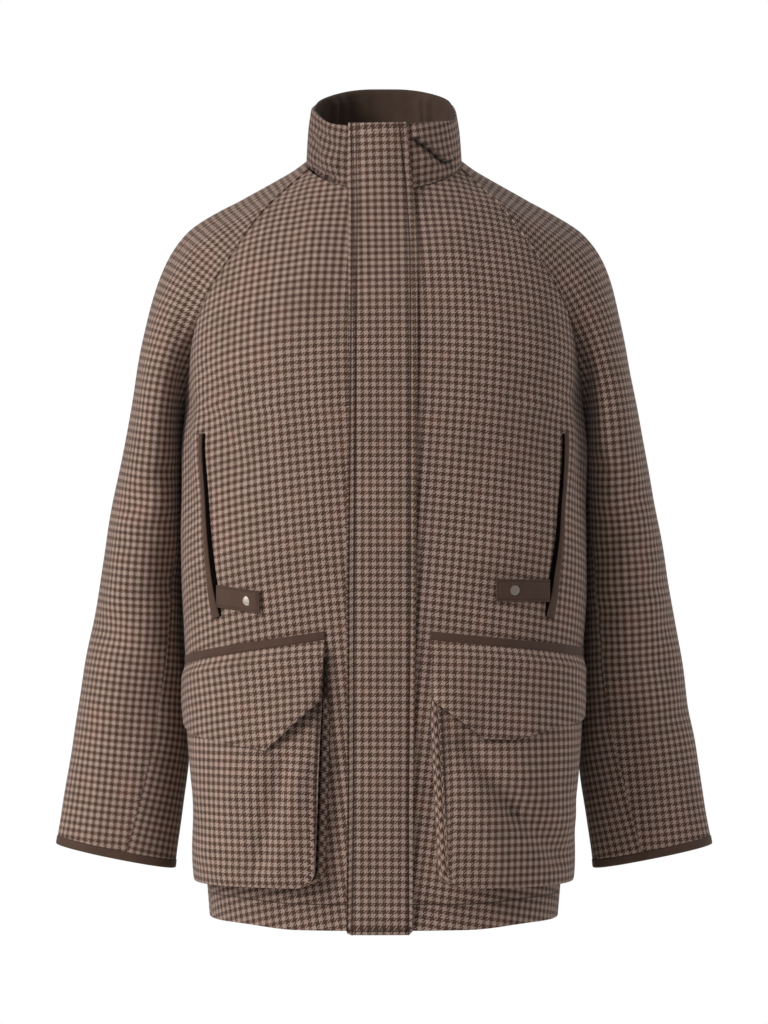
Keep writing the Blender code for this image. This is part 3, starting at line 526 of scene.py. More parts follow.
def fold_depth(folds, first, second, mirrored):
    """Sum of the largest folds at places on a surface; mirrored is the side that is being made."""
    depth = np.zeros_like(first)
    for side, middle, height, spread, height_spread, lean, amount in folds:
        shown = 1.0 if side == 0 else (np.sign(mirrored) == side)
        line = (first - middle - lean * (second - height)) / spread
        depth += shown * amount * np.exp(-line ** 2 - ((second - height) / height_spread) ** 2)
    return depth


def torso(turn, rise, side=1):
    """The body's cloth: rise is -1 at the hem, 0 at the underarm and 1 at the neckline."""
    turn, rise = np.broadcast_arrays(np.asarray(turn, float), np.asarray(rise, float))
    shape = turn.shape
    turn, rise = turn.ravel(), rise.ravel()
    height = UNDERARM_Z + np.clip(-rise, 0.0, None) * (HEM_Z - UNDERARM_Z)
    base, out = body_section(turn, height)
    level = np.cos(turn) ** 2
    slope = SHOULDER_SLOPE + (np.where(np.cos(turn) > 0, CHEST_SLOPE, NAPE_SLOPE) - SHOULDER_SLOPE) * level
    down = np.stack((np.cos(slope) * np.sin(turn), -np.cos(slope) * np.cos(turn), -np.sin(slope)), axis=-1)
    neck = neckline(turn)
    up = np.zeros_like(base)
    up[:, 2] = CHEST_RISE + SIDE_RISE * (1 - level)
    t = np.clip(rise, 0.0, None)[:, None]
    points = (1 - t) ** 3 * base + 3 * (1 - t) ** 2 * t * (base + up)
    points += 3 * (1 - t) * t * t * (neck + down * (NECK_REACH + SIDE_REACH * (1 - level))[:, None])
    points += t ** 3 * neck
    half_turn = np.degrees(np.arccos(np.clip(np.cos(turn), -1.0, 1.0)))
    folds = fold_depth(BODY_FOLDS, half_turn, points[:, 2], side * np.sin(turn))
    return (points + out * folds[:, None]).reshape(shape + (3,))


SHOULDER_SETTLE = (
    # distance from the middle plane, change of height
    (0.080, 0.0),
    (0.098, -0.0028),
    (0.160, -0.0028),
    (0.188, 0.0),
    (0.212, 0.0028),
    (0.240, 0.0022),
    (0.262, 0.0),
)
SHOULDER_HEIGHTS = (-0.22, -0.10)
HEM_LIFT = 0.0042
HEM_LIFT_AWAY = (0.09, 0.16)
HEM_LIFT_HEIGHTS = (HEM_Z, HEM_Z + 0.05)
SLEEVE_EASE = 0.0028
SLEEVE_EASE_AWAY = (0.22, 0.30)
SLEEVE_EASE_STARTS = (-0.72, -0.60)
SLEEVE_EASE_ENDS = (-0.42, -0.28)
UNDERARM_EASE = 0.0045
UNDERARM_EASE_Z = -0.305
UNDERARM_EASE_SPREAD = 0.045
SIDEWAYS = (0.6, 0.95)
BODY_FRONT_FACING = (-0.2, 0.4)


def settle(points):
    """Small shifts of the worn coat, by place alone, so that joined panels move together."""
    away, height = np.abs(points[..., 0]), points[..., 2]
    moved = points.copy()
    moved[..., 2] += np.interp(away, *np.array(SHOULDER_SETTLE).T) * smooth(*SHOULDER_HEIGHTS, height)
    moved[..., 2] += HEM_LIFT * smooth(*HEM_LIFT_AWAY, away) * (1 - smooth(*HEM_LIFT_HEIGHTS, height))
    ease = SLEEVE_EASE * smooth(*SLEEVE_EASE_AWAY, away)
    ease = ease * smooth(*SLEEVE_EASE_STARTS, height) * (1 - smooth(*SLEEVE_EASE_ENDS, height))
    moved[..., 0] += np.sign(points[..., 0]) * ease
    return moved


def body_depth(points, normals, side):
    """How far the creases lift the body's cloth, or sink it, at places on it."""
    seen = on_side(points, side)
    front = smooth(*BODY_FRONT_FACING, -normals[..., 1])
    depth = crease_depth(seen, BODY_CREASES) * front + crease_depth(seen, BACK_CREASES) * (1 - front)
    depth += ripple_depth(seen)
    under_arm = np.exp(-((seen[..., 2] - UNDERARM_EASE_Z) / UNDERARM_EASE_SPREAD) ** 2)
    return depth + UNDERARM_EASE * under_arm * smooth(*SIDEWAYS, np.abs(normals[..., 0]))


def body_cloth(turn, rise, side=1):
    """The body's cloth with its creases, and the direction out of it."""
    def plain(a, b):
        return torso(a, b, side)

    points, normals = plain(turn, rise), outward(plain, turn, rise)
    return settle(points + normals * body_depth(points, normals, side)[..., None]), normals


print("hem to neck point:", round(-HEM_Z, 3), "m")

# %% [markdown]
# Raglan seams run from the neck to the underarm, in front and behind. The sleeve's cap starts on them
# and flows along curves into the upper arm. The first curve follows the shoulder, and those lower down
# turn away from the seam more and more.

# %% Raglan seams
FRONT_SEAM = (
    # rise, turn_degrees
    (0.00, 90.0),
    (0.10, 82.0),
    (0.30, 71.0),
    (0.50, 66.0),
    (0.75, 68.0),
    (1.00, 75.0),
)
BACK_SEAM = (
    # rise, turn_degrees
    (0.00, 90.0),
    (0.10, 103.0),
    (0.30, 118.0),
    (0.50, 125.0),
    (0.75, 127.0),
    (1.00, 122.0),
)
SIDE_SEAM_HEM_TURN = 77.0
NECK_POINT_TURN = 100.0
CAP_SPREAD = math.radians(40.0)
NEAR_NECK = (0.70, 1.0)
NECK_STEPS = 9
SEAM_STEPS = 61


def seam_turn(table, rise):
    """Turn of a panel's outer edge: a raglan seam above the underarm, the side seam below it."""
    rise = np.asarray(rise, float)
    raglan = read_table(table, np.clip(rise.ravel(), 0.0, 1.0))[:, 0].reshape(rise.shape)
    share = smooth(0.0, 1.0, -rise)
    side_seam = table[0][1] + (SIDE_SEAM_HEM_TURN - table[0][1]) * share
    return np.radians(np.where(rise < 0, side_seam, raglan))


def seam_loop(table):
    """Half of the sleeve's top edge, from the neck point along the neck and down a raglan seam.

    Gives the share of the way, the points, the way that the sleeve leaves the seam, the body's
    normals there, and how high each point is on the seam.
    """
    neck_end = table[-1][1]
    turns = np.radians(np.linspace(NECK_POINT_TURN, neck_end, NECK_STEPS)[:-1])
    rises = np.linspace(1.0, 0.0, SEAM_STEPS)
    turns = np.append(turns, seam_turn(table, rises))
    rises = np.append(np.ones(NECK_STEPS - 1), rises)
    points = torso(turns, rises)
    normals = outward(torso, turns, rises)
    ahead = unit(np.gradient(points, axis=0))
    away = np.cross(normals, ahead) * np.sign(NECK_POINT_TURN - neck_end)
    shoulder = unit(torso(turns[:1], rises[:1] - SMALL) - points[:1])
    near_neck = smooth(*NEAR_NECK, rises)[:, None]
    spread = ahead * math.cos(CAP_SPREAD) + away * math.sin(CAP_SPREAD)
    leave = unit(spread * (1 - near_neck) + shoulder * near_neck)
    lengths = np.append(0.0, np.cumsum(np.linalg.norm(np.diff(points, axis=0), axis=1)))
    return lengths / lengths[-1], points, leave, normals, rises


LOOPS = {1: seam_loop(FRONT_SEAM), -1: seam_loop(BACK_SEAM)}


def read_loop(share, item):
    """Read an item of the seam loop at shares from the neck point: above 0 in front, below 0 behind."""
    values = {side: LOOPS[side][item].reshape(len(LOOPS[side][0]), -1) for side in LOOPS}
    columns = []
    for column in range(values[1].shape[1]):
        front = np.interp(share, LOOPS[1][0], values[1][:, column])
        back = np.interp(-share, LOOPS[-1][0], values[-1][:, column])
        columns.append(np.where(share >= 0, front, back))
    return np.stack(columns, axis=-1)


print("seam points:", len(LOOPS[1][0]))

# %% [markdown]
# Below the cap the sleeve is a row of rounded sections, wide at the upper arm and flatter at the cuff.

# %% Sleeve surface
SLEEVE_SQUARENESS = 2.15
ARM_SECTIONS = (
    # top_x, top_z, under_x, under_z, half_depth, middle_y
    (0.2745, -0.262, 0.2165, -0.327, 0.088, 0.035),
    (0.3040, -0.432, 0.2170, -0.470, 0.080, 0.042),
    (0.3320, -0.602, 0.2120, -0.632, 0.062, 0.034),
    (0.3550, -0.736, 0.2260, -0.762, 0.040, 0.015),
)
CAP_REACH = {"seam_top": 0.57, "seam": 0.34, "arm_top": 0.62, "arm": 0.40}
CAP_TOP_SHARE = 0.45
ARMHOLE_LIFT = 0.45
UNDERARM_LIFT = 0.06
SLEEVE_SEAMS = (
    # along_share, front_share, back_share of the way from the top line to the under line
    (0.00, 0.93, 0.72),
    (0.30, 0.85, 0.70),
    (0.48, 0.75, 0.67),
    (0.70, 0.67, 0.64),
    (1.00, 0.57, 0.62),
)
SLEEVE_FOLDS = (
    # side, share_round, along, share_spread, along_spread, lean_share_per_metre, depth
    (0, 0.55, 0.30, 0.16, 0.030, 2.0, -0.005),
    (0, 0.30, 0.42, 0.18, 0.035, 2.5, -0.004),
    (-1, 0.62, 0.47, 0.16, 0.028, -2.0, -0.005),
    (1, 0.20, 0.50, 0.16, 0.028, -1.5, -0.004),
    (0, -0.45, 0.38, 0.20, 0.030, -2.0, -0.006),
    (0, -0.40, 0.48, 0.20, 0.030, 2.0, -0.005),
)
CUFF_BINDING_WIDTH = 0.0095
RING_STEPS = 81
UPPER_CAP = (0.10, 0.60)
LOW_CAP = (0.0, 0.20)
CREASES_START = (0.0, 0.05)
SLEEVE_FRONT_FACING = (-0.1, 0.5)


def arm_ring(section, share):
    """Points of a sleeve section at shares of the way from its top line to its under line."""
    top_x, top_z, under_x, under_z, half_depth, middle_y = section
    angle = np.linspace(0.0, math.pi, RING_STEPS)
    power = 2.0 / SLEEVE_SQUARENESS
    along = np.sign(np.cos(angle)) * np.abs(np.cos(angle)) ** power
    out = np.abs(np.sin(angle)) ** power * half_depth
    x = (top_x + under_x) / 2 + along * (top_x - under_x) / 2
    z = (top_z + under_z) / 2 + along * (top_z - under_z) / 2
    steps = np.sqrt(np.diff(x) ** 2 + np.diff(z) ** 2 + np.diff(out) ** 2)
    way = np.append(0.0, np.cumsum(steps))
    way /= way[-1]
    reach = np.abs(share)
    y = middle_y - np.sign(share) * np.interp(reach, way, out)
    return np.stack((np.interp(reach, way, x), y, np.interp(reach, way, z)), axis=-1)


def sleeve_lengths():
    """Distances along the sleeve's middle line from the raglan seam to each section of the arm."""
    middles = [(neckline(np.radians(NECK_POINT_TURN)) + torso(math.pi / 2, 0.0)) / 2]
    for top_x, top_z, under_x, under_z, _, middle_y in ARM_SECTIONS:
        middles.append(np.array(((top_x + under_x) / 2, middle_y, (top_z + under_z) / 2)))
    return np.cumsum(np.linalg.norm(np.diff(np.array(middles), axis=0), axis=1))


ARM_ALONG = sleeve_lengths()
CAP_LENGTH = ARM_ALONG[0]
SLEEVE_LENGTH = ARM_ALONG[-1]


def sleeve_cap(share, along, arm, arm_way):
    """The cap: curves that leave the raglan seam along the body and reach the upper arm along it."""
    seam, leave, body_out = (read_loop(share, item) for item in (1, 2, 3))
    rise = read_loop(share, 4)
    upper = smooth(*UPPER_CAP, rise)
    chord = arm - seam
    length = np.linalg.norm(chord, axis=1, keepdims=True)
    lift = UNDERARM_LIFT + (ARMHOLE_LIFT - UNDERARM_LIFT) * smooth(*LOW_CAP, rise)
    low_way = unit(chord / length + body_out * lift)
    way = unit(leave * upper + low_way * (1 - upper))
    top = 1.0 - smooth(0.0, CAP_TOP_SHARE, np.abs(share))[:, None]
    seam_reach = CAP_REACH["seam"] + (CAP_REACH["seam_top"] - CAP_REACH["seam"]) * top
    arm_reach = CAP_REACH["arm"] + (CAP_REACH["arm_top"] - CAP_REACH["arm"]) * top
    t = (along / CAP_LENGTH)[:, None]
    points = (1 - t) ** 3 * seam + 3 * (1 - t) ** 2 * t * (seam + way * length * seam_reach)
    return points + 3 * (1 - t) * t * t * (arm - arm_way * length * arm_reach) + t ** 3 * arm


def plain_sleeve(share, along):
    """The sleeve without folds: a share of the way round from the top line, and metres along it."""
    share, along = np.broadcast_arrays(np.asarray(share, float), np.asarray(along, float))
    shape = share.shape
    share, along = share.ravel(), along.ravel()
    share = (share + 1.0) % 2.0 - 1.0
    rings = np.stack([arm_ring(section, share) for section in ARM_SECTIONS])
    cap = sleeve_cap(share, along, rings[0], unit(rings[1] - rings[0]))
    arm = through(ARM_ALONG, rings, np.clip(along, CAP_LENGTH, None))
    return np.where((along < CAP_LENGTH)[:, None], cap, arm).reshape(shape + (3,))


def sleeve_cloth(share, along, side):
    """The sleeve's cloth with its folds and creases, and the direction out of it.

    At the raglan seam it is carried along by the body's creases, so that the two stay joined.
    """
    normals = outward(plain_sleeve, share, along)
    turned = (share + 1.0) % 2.0 - 1.0
    depth = fold_depth(SLEEVE_FOLDS, turned, along, side * np.ones_like(share))
    points = plain_sleeve(share, along)
    seen = on_side(points, side)
    front = smooth(*SLEEVE_FRONT_FACING, -normals[..., 1])
    below_cap = smooth(*CREASES_START, along)
    depth = depth + (crease_depth(seen, SLEEVE_CREASES) * front + ripple_depth(seen)) * below_cap
    seam, body_out = (read_loop(turned, item) for item in (1, 3))
    carried = body_out * (body_depth(seam, body_out, side) * (1 - below_cap))[..., None]
    return settle(points + normals * depth[..., None] + carried), normals


print("sleeve length:", round(SLEEVE_LENGTH, 3), "m")

# %% [markdown]
# A piece of cloth is a thin closed shell: an outside and an inside, with rolled edges. Its points come
# in a grid. More rows and columns go near the edges and beside lines of sewing, where the form turns
# quickly, and fewer in between. Blender's Solidify could give the thickness, but not a rolled edge or
# a groove under the stitches.

# %% Grid helpers
STEP = 0.0050
EDGES_AT_MOST = 0.7
ROLL_PLACES = (0.0, 0.00015, 0.0005, 0.0011, 0.0024)
GROOVE_PLACES = (-0.0012, -0.0006, 0.0, 0.0006, 0.0012)


def edge_places(*grooves):
    """Distances from an edge at which a grid needs points."""
    places = list(ROLL_PLACES)
    for groove in grooves:
        places += [groove + place for place in GROOVE_PLACES]
    return np.unique(np.round(places, 6))


PLAIN = edge_places()


def along_rows(grid):
    """Distance of each point from the start of its row."""
    steps = np.linalg.norm(np.diff(grid[..., :3], axis=1), axis=2)
    return np.concatenate((np.zeros((len(grid), 1)), np.cumsum(steps, axis=1)), axis=1)


def respace(dense, starts, ends, step=STEP):
    """Respace the columns of a dense grid: at set distances from both ends, and evenly between them."""
    lengths = along_rows(dense)
    total = lengths[:, -1]
    set_off = starts[-1] + ends[-1]
    between = max(2, int(np.ceil((total.max() - set_off) / step)))
    shares = np.linspace(0.0, 1.0, between + 1)[1:-1]
    rows = []
    for row, length, whole in zip(dense, lengths, total):
        scale = min(1.0, EDGES_AT_MOST * whole / set_off)
        middle = starts[-1] * scale + shares * (whole - set_off * scale)
        at = np.concatenate((starts * scale, middle, whole - ends[::-1] * scale))
        rows.append(np.stack([np.interp(at, length, values) for values in row.T], axis=1))
    return np.array(rows)


def respace_rows(dense, starts, ends, step=STEP):
    """Respace the rows of a dense grid in the same way."""
    return respace(dense.swapaxes(0, 1), starts, ends, step).swapaxes(0, 1)


def respace_both(dense, across=STEP, along=STEP, start=PLAIN, end=PLAIN, low=PLAIN, high=PLAIN):
    """Respace the columns of a dense grid, and then its rows."""
    return respace_rows(respace(dense, start, end, across), low, high, along)


def grid_normals(grid, ring):
    """Unit normals of a grid's points; the columns of a ring close round."""
    if ring:
        across = np.roll(grid, -1, axis=1) - np.roll(grid, 1, axis=1)
    else:
        across = np.gradient(grid, axis=1)
    return unit(np.cross(across, np.gradient(grid, axis=0)))


def flat_pattern(grid, middle):
    """Flat coordinates of a grid, as if it lay on a table: across from the middle column, and along."""
    across = along_rows(grid)
    across = across - across[:, middle:middle + 1]
    along = np.zeros_like(across)
    for row in range(1, len(grid)):
        low, high = across[row - 1], across[row]
        shared = np.clip(high, low[0], low[-1])
        here = np.stack([np.interp(shared, high, grid[row][:, axis]) for axis in range(3)], axis=1)
        below = np.stack([np.interp(shared, low, grid[row - 1][:, axis]) for axis in range(3)], axis=1)
        along[row] = np.interp(shared, low, along[row - 1]) + np.linalg.norm(here - below, axis=1)
    return across, along


print("edge places in mm:", np.round(PLAIN * 1000, 2))

# %% [markdown]
# A panel that curves two ways can't be laid flat by measuring its rows. Blender's own unwrapping finds the
# flat shape that stretches least, as a cutter's paper pattern does. It runs on a coarse copy of the panel,
# and the result is turned so that the grain lies as the coat is cut.

# %% Unwrap a panel
UNWRAP_STEP = 6
UNWRAP_ROUNDS = 40


def unwrap(points, column=None, row=None):
    """Points with flat coordinates from Blender's own unwrapping; a column lies upright or a row level."""
    rows = np.unique(np.append(np.arange(0, len(points), UNWRAP_STEP), len(points) - 1))
    columns = np.unique(np.append(np.arange(0, points.shape[1], UNWRAP_STEP), points.shape[1] - 1))
    coarse = points[np.ix_(rows, columns)]
    wide = len(columns)
    at = np.arange(len(rows) * wide).reshape(len(rows), wide)
    faces = np.stack((at[:-1, :-1], at[:-1, 1:], at[1:, 1:], at[1:, :-1]), axis=-1).reshape(-1, 4)
    mesh = bpy.data.meshes.new("panel")
    mesh.from_pydata(coarse.reshape(-1, 3).tolist(), [], faces.tolist())
    mesh.uv_layers.new(name="cloth")
    panel = bpy.data.objects.new("panel", mesh)
    bpy.context.scene.collection.objects.link(panel)
    bpy.context.view_layer.objects.active = panel
    bpy.ops.object.mode_set(mode="EDIT")
    bpy.ops.mesh.select_all(action="SELECT")
    bpy.ops.uv.unwrap(method="MINIMUM_STRETCH", iterations=UNWRAP_ROUNDS, margin=0.0)
    bpy.ops.object.mode_set(mode="OBJECT")
    flat = np.zeros((len(at.ravel()), 2))
    corner = np.empty(2 * len(mesh.loops), dtype=np.float32)
    mesh.uv_layers["cloth"].data.foreach_get("uv", corner)
    flat[faces.ravel()] = corner.reshape(-1, 2)
    bpy.data.objects.remove(panel)
    flat = flat.reshape(len(rows), wide, 2)
    place = np.index_exp[len(rows) // 2:, column] if row is None else np.index_exp[row, :]
    line, real = flat[place], coarse[place]
    ways = [np.linalg.norm(np.diff(path, axis=0), axis=1).sum() for path in (real, line)]
    ahead = unit(line[-1] - line[0]) * ways[0] / ways[1]
    up = ahead * np.sign(real[-1, 2] - real[0, 2])
    if row is not None:
        up = np.array((-ahead[1], ahead[0]))
    flat = flat - line[0]
    upright = np.stack((flat @ np.array((up[1], -up[0])), flat @ up + real[0, 2]), axis=-1)
    every_row, every_column = np.arange(len(points)), np.arange(points.shape[1])
    lines = upright.swapaxes(1, 2).reshape(-1, wide)
    fine = np.stack([np.interp(every_column, columns, values) for values in lines])
    lines = fine.reshape(len(rows), -1).T
    fine = np.stack([np.interp(every_row, rows, values) for values in lines], axis=1)
    return np.concatenate((points, fine.reshape(len(points), 2, -1).swapaxes(1, 2)), axis=2)


print("unwrapping every", UNWRAP_STEP, "points")

# %% [markdown]
# One function makes every piece of cloth from its grid: it rolls the edges, presses grooves under the
# sewing, adds the inside, gives the flat coordinates that the weave reads, and remembers where stitches
# go. It also hides the solid that the piece stands for and records how large its flat cut is. Along a
# raglan seam the inside of a panel runs on a little under the sleeve, as a sewn seam's allowance does,
# because light would shine through a seam whose two edges only touch.

# %% Cloth maker
EDGE_KEPT = 0.2
GROOVE_WIDTH = 0.0009
GROOVE_DEPTH = 0.0005
SEWN_LIFT = 0.00015
NARROWEST = 0.010
SEAM_LAP = 0.003
LAP_STARTS = (UNDERARM_Z - 0.02, UNDERARM_Z)
SHARP_EDGE = math.radians(50.0)
MIRROR = np.array((-1.0, 1.0, 1.0))
SEWN_LINES = []
MADE = {}


def cloth_mesh(name, outer, inner, across, along, ring, pressed_and_painted_shade):
    """A closed shell from two grids, with its flat coordinates and how much painted shade its outside gets.
    """
    rows, columns = outer.shape[:2]
    count = rows * columns
    r, c = np.meshgrid(np.arange(rows - 1), np.arange(columns if ring else columns - 1), indexing="ij")
    corners = [(r, c), (r, c + 1), (r + 1, c + 1), (r + 1, c)]
    face = np.stack([row * columns + column % columns for row, column in corners], axis=-1).reshape(-1, 4)
    flat = [np.stack((across[row, column], along[row, column]), axis=-1) for row, column in corners]
    flat = np.stack(flat, axis=-2).reshape(-1, 4, 2)
    faces, flats = [face, face[:, ::-1] + count], [flat, flat[:, ::-1]]

    def wall(path):
        """The narrow faces along an edge, between the outside and the inside."""
        row, column = path
        at = row * columns + column % columns
        place = np.stack((across[row, column], along[row, column]), axis=-1)
        faces.append(np.stack((at[1:], at[:-1], at[:-1] + count, at[1:] + count), axis=-1))
        flats.append(np.stack((place[1:], place[:-1], place[:-1], place[1:]), axis=-2))

    around = np.arange(columns + 1 if ring else columns)
    wall((np.zeros_like(around), around))
    wall((np.full_like(around, rows - 1), around[::-1]))
    if not ring:
        upright = np.arange(rows)
        wall((upright[::-1], np.zeros_like(upright)))
        wall((upright, np.full_like(upright, columns - 1)))
    faces, flats = np.concatenate(faces), np.concatenate(flats)
    mesh = bpy.data.meshes.new(name)
    mesh.from_pydata(np.concatenate((outer, inner)).reshape(-1, 3).tolist(), [], faces.tolist())
    layer = mesh.uv_layers.new(name="cloth")
    layer.data.foreach_set("uv", flats.astype(np.float32).ravel())
    store = mesh.attributes.new("pressed_and_painted_shade", "FLOAT", "POINT")
    values = np.concatenate((pressed_and_painted_shade.ravel(), np.zeros(count)))
    store.data.foreach_set("value", values.astype(np.float32))
    mesh.shade_smooth()
    mesh.set_sharp_from_angle(angle=SHARP_EDGE)
    return mesh


def show(name, mesh, material, nodes=()):
    """Add a mesh to the scene, hang it on the root, and hide the solids that it stands for."""
    mesh.materials.append(material)
    piece = bpy.data.objects.new(name + "_look", mesh)
    bpy.context.scene.collection.objects.link(piece)
    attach(piece, "root")
    if nodes:
        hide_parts(*nodes)
    return piece


def make_cloth(name, grid, wall, material, side=1, middle=0, ring=False, grooves=(), nodes=None,
               cut=None, press=GROOVE_DEPTH, lap=None):
    """Make a piece from a grid of points on its outside; grooves are rows of edge and distance.

    Two more channels of the grid may give its flat coordinates, and a third how much painted shade it
    gets. At the lap edge, above the underarm, the inside runs on under the next piece.
    """
    columns = grid.shape[1]
    grid, unwrapped = grid[..., :3], grid[..., 3:]
    if side < 0:
        grid = grid[:, ::-1] * MIRROR
        unwrapped = unwrapped[:, ::-1] * MIRROR[:unwrapped.shape[2]]
        middle = columns - 1 - middle
        swapped = {"start": "end", "end": "start", "low": "low", "high": "high"}
        grooves = [(swapped[edge], distance) for edge, distance in grooves]
        lap = swapped.get(lap)
    normals = grid_normals(grid, ring)
    start = along_rows(grid)
    low = along_rows(grid.swapaxes(0, 1)).T
    reach = {"start": start, "end": start[:, -1:] - start, "low": low, "high": low[-1:] - low}
    edge = np.minimum(reach["low"], reach["high"])
    if not ring:
        edge = np.minimum(edge, np.minimum(reach["start"], reach["end"]))
    radius = wall / 2
    into = radius - np.minimum(edge, radius)
    roll = (1 - EDGE_KEPT) * (radius - np.sqrt(radius ** 2 - into ** 2))
    # Grooves under the sewing are sunk into the cloth; the same amount, with the grid's third channel,
    # darkens the wool there as painted shade.
    pressed_and_painted_shade = np.zeros_like(roll)
    for groove_edge, distance in grooves:
        pressed_and_painted_shade += np.exp(-((reach[groove_edge] - distance) / GROOVE_WIDTH) ** 2)
    outer = grid - normals * (roll + press * np.minimum(pressed_and_painted_shade, 1.0))[..., None]
    if unwrapped.shape[2] > 2:
        pressed_and_painted_shade = pressed_and_painted_shade + unwrapped[..., 2]
    pressed_and_painted_shade = np.clip(pressed_and_painted_shade, 0.0, 1.0)
    inner = grid - normals * (wall - roll)[..., None]
    if lap:
        last, before = (0, 1) if lap == "start" else (-1, -2)
        above = smooth(*LAP_STARTS, inner[:, last, 2:])
        inner[:, last] += SEAM_LAP * above * unit(inner[:, last] - inner[:, before])
    closed = np.concatenate((grid, grid[:, :1]), axis=1) if ring else grid
    if unwrapped.shape[2]:
        across, along = unwrapped[..., 0], unwrapped[..., 1]
    else:
        across, along = flat_pattern(closed, middle)
        along = along + grid[0, middle, 2]
    piece = show(name, cloth_mesh(name, outer, inner, across, along, ring, pressed_and_painted_shade), material,
                 (name,) if nodes is None else nodes)
    for groove_edge, distance in grooves:
        SEWN_LINES.append(line_at(outer + normals * SEWN_LIFT, reach[groove_edge], distance,
                                  groove_edge in ("low", "high")))
    rising, falling = closed[1:, 1:] - closed[:-1, :-1], closed[1:, :-1] - closed[:-1, 1:]
    quads = np.linalg.norm(np.cross(rising, falling), axis=-1)
    width, length = cut or (max(np.ptp(across), NARROWEST), max(np.ptp(along), NARROWEST))
    area = float(min(quads.sum() / 2, width * length))
    MADE[name] = (round(float(width), 3), round(float(length), 3), round(area, 4))
    return piece


def line_at(points, reach, distance, by_column):
    """The line on a grid that keeps a distance from one edge."""
    if by_column:
        points, reach = points.swapaxes(0, 1), reach.T
    line = []
    for row, length in zip(points, reach):
        order = np.argsort(length)
        if length.max() < distance:
            continue
        line.append([np.interp(distance, length[order], row[order, axis]) for axis in range(3)])
    return np.array(line)


def side_name(name, side):
    return f"{name}_{'left' if side > 0 else 'right'}"


print("cloth maker ready")

# %% [markdown]
# The two fronts and the two halves of the back are cut from the body's surface. Their hems are turned up
# and sewn, which shows as a line a little above the lower edge. Worn cloth sinks towards the sides, so the
# rows of the check drop a little there.

# %% Fronts and back
WALL = 0.0022
HEM_DEPTH = 0.0275
GRAIN_DROP = {-1: 0.42, 1: 0.22}
DENSE_RISES = np.concatenate((np.linspace(-1.0, 0.0, 220)[:-1], np.linspace(0.0, 1.0, 110)))
DENSE_COLUMNS = 180
HEM_EDGE = edge_places(HEM_DEPTH)
HEM_SEWING = [("low", HEM_DEPTH)]


def make_front(side):
    edge = seam_turn(FRONT_SEAM, DENSE_RISES)[:, None]
    turn = edge * np.linspace(0.0, 1.0, DENSE_COLUMNS)[None, :]
    rise = np.broadcast_to(DENSE_RISES[:, None], turn.shape)
    points = unwrap(body_cloth(turn, rise, side)[0], column=0)
    points[..., 4] += GRAIN_DROP[side] * points[..., 3] ** 2
    grid = respace_both(points, low=HEM_EDGE)
    make_cloth(side_name("front", side), grid, WALL, TWEED, side, grooves=HEM_SEWING, lap="end")


def make_back(side):
    edge = seam_turn(BACK_SEAM, DENSE_RISES)[:, None]
    turn = edge + np.linspace(0.0, 1.0, DENSE_COLUMNS)[None, :] * (math.pi - edge)
    rise = np.broadcast_to(DENSE_RISES[:, None], turn.shape)
    points = unwrap(body_cloth(turn, rise, side)[0], column=-1)
    grid = respace_both(points, low=HEM_EDGE)
    make_cloth(side_name("back", side), grid, WALL, TWEED, side, grooves=HEM_SEWING, lap="start")


for side in (1, -1):
    make_front(side)
    make_back(side)
print("body pieces:", {name: MADE[name] for name in ("front_left", "back_left")})

# %% [markdown]
# Each sleeve has a top piece, which runs over the shoulder to the neck, and an under piece. A narrow
# brown binding closes the cuff.

# %% Sleeves
SLEEVE_COLUMNS = 170
SLEEVE_ROWS = 300
BINDING_PROUD = 0.0006
BINDING_COLUMNS = 96
BINDING_ROWS = 12


def sleeve_seam(column, way):
    """A function that gives a seam's share of the way round at places along the sleeve."""
    def read(along):
        return way * read_table(SLEEVE_SEAMS, along / SLEEVE_LENGTH)[:, column]
    return read


def make_sleeve_panel(name, side, first, last):
    along = np.linspace(0.0, SLEEVE_LENGTH - CUFF_BINDING_WIDTH, SLEEVE_ROWS)
    begin, end = first(along)[:, None], last(along)[:, None]
    share = begin + (end - begin) * np.linspace(0.0, 1.0, SLEEVE_COLUMNS)[None, :]
    points, _ = sleeve_cloth(share, np.broadcast_to(along[:, None], share.shape), side)
    points = unwrap(points, column=SLEEVE_COLUMNS // UNWRAP_STEP // 2)
    make_cloth(side_name(name, side), respace_both(points), WALL, TWEED, side)


def make_cuff_binding(side):
    share = np.linspace(-1.0, 1.0, BINDING_COLUMNS + 1)[:-1][None, :]
    down = np.linspace(0.0, 1.0, BINDING_ROWS)[:, None]
    along = SLEEVE_LENGTH - CUFF_BINDING_WIDTH + CUFF_BINDING_WIDTH * down
    share, along = np.broadcast_arrays(share, along)
    points, normals = sleeve_cloth(share, along, side)
    grid = respace_rows(points + normals * BINDING_PROUD, PLAIN, PLAIN, 0.002)
    wall = WALL + 2 * BINDING_PROUD
    make_cloth(side_name("cuff_binding", side), grid, wall, TRIM, side, ring=True)


front_seam, back_seam = sleeve_seam(0, 1.0), sleeve_seam(1, -1.0)


def back_again(along):
    """The back seam, reached by going on under the arm."""
    return back_seam(along) + 2.0


for side in (1, -1):
    make_sleeve_panel("sleeve_top", side, back_seam, front_seam)
    make_sleeve_panel("sleeve_under", side, front_seam, back_again)
    make_cuff_binding(side)
print("sleeve top cut:", MADE["sleeve_top_left"])

# %% [markdown]
# The standing collar is soft and has buckled in wear: a deep fold on one side, where its end is tucked
# under, and softer ones on the other. A brown facing lines it and shows inside the neck.

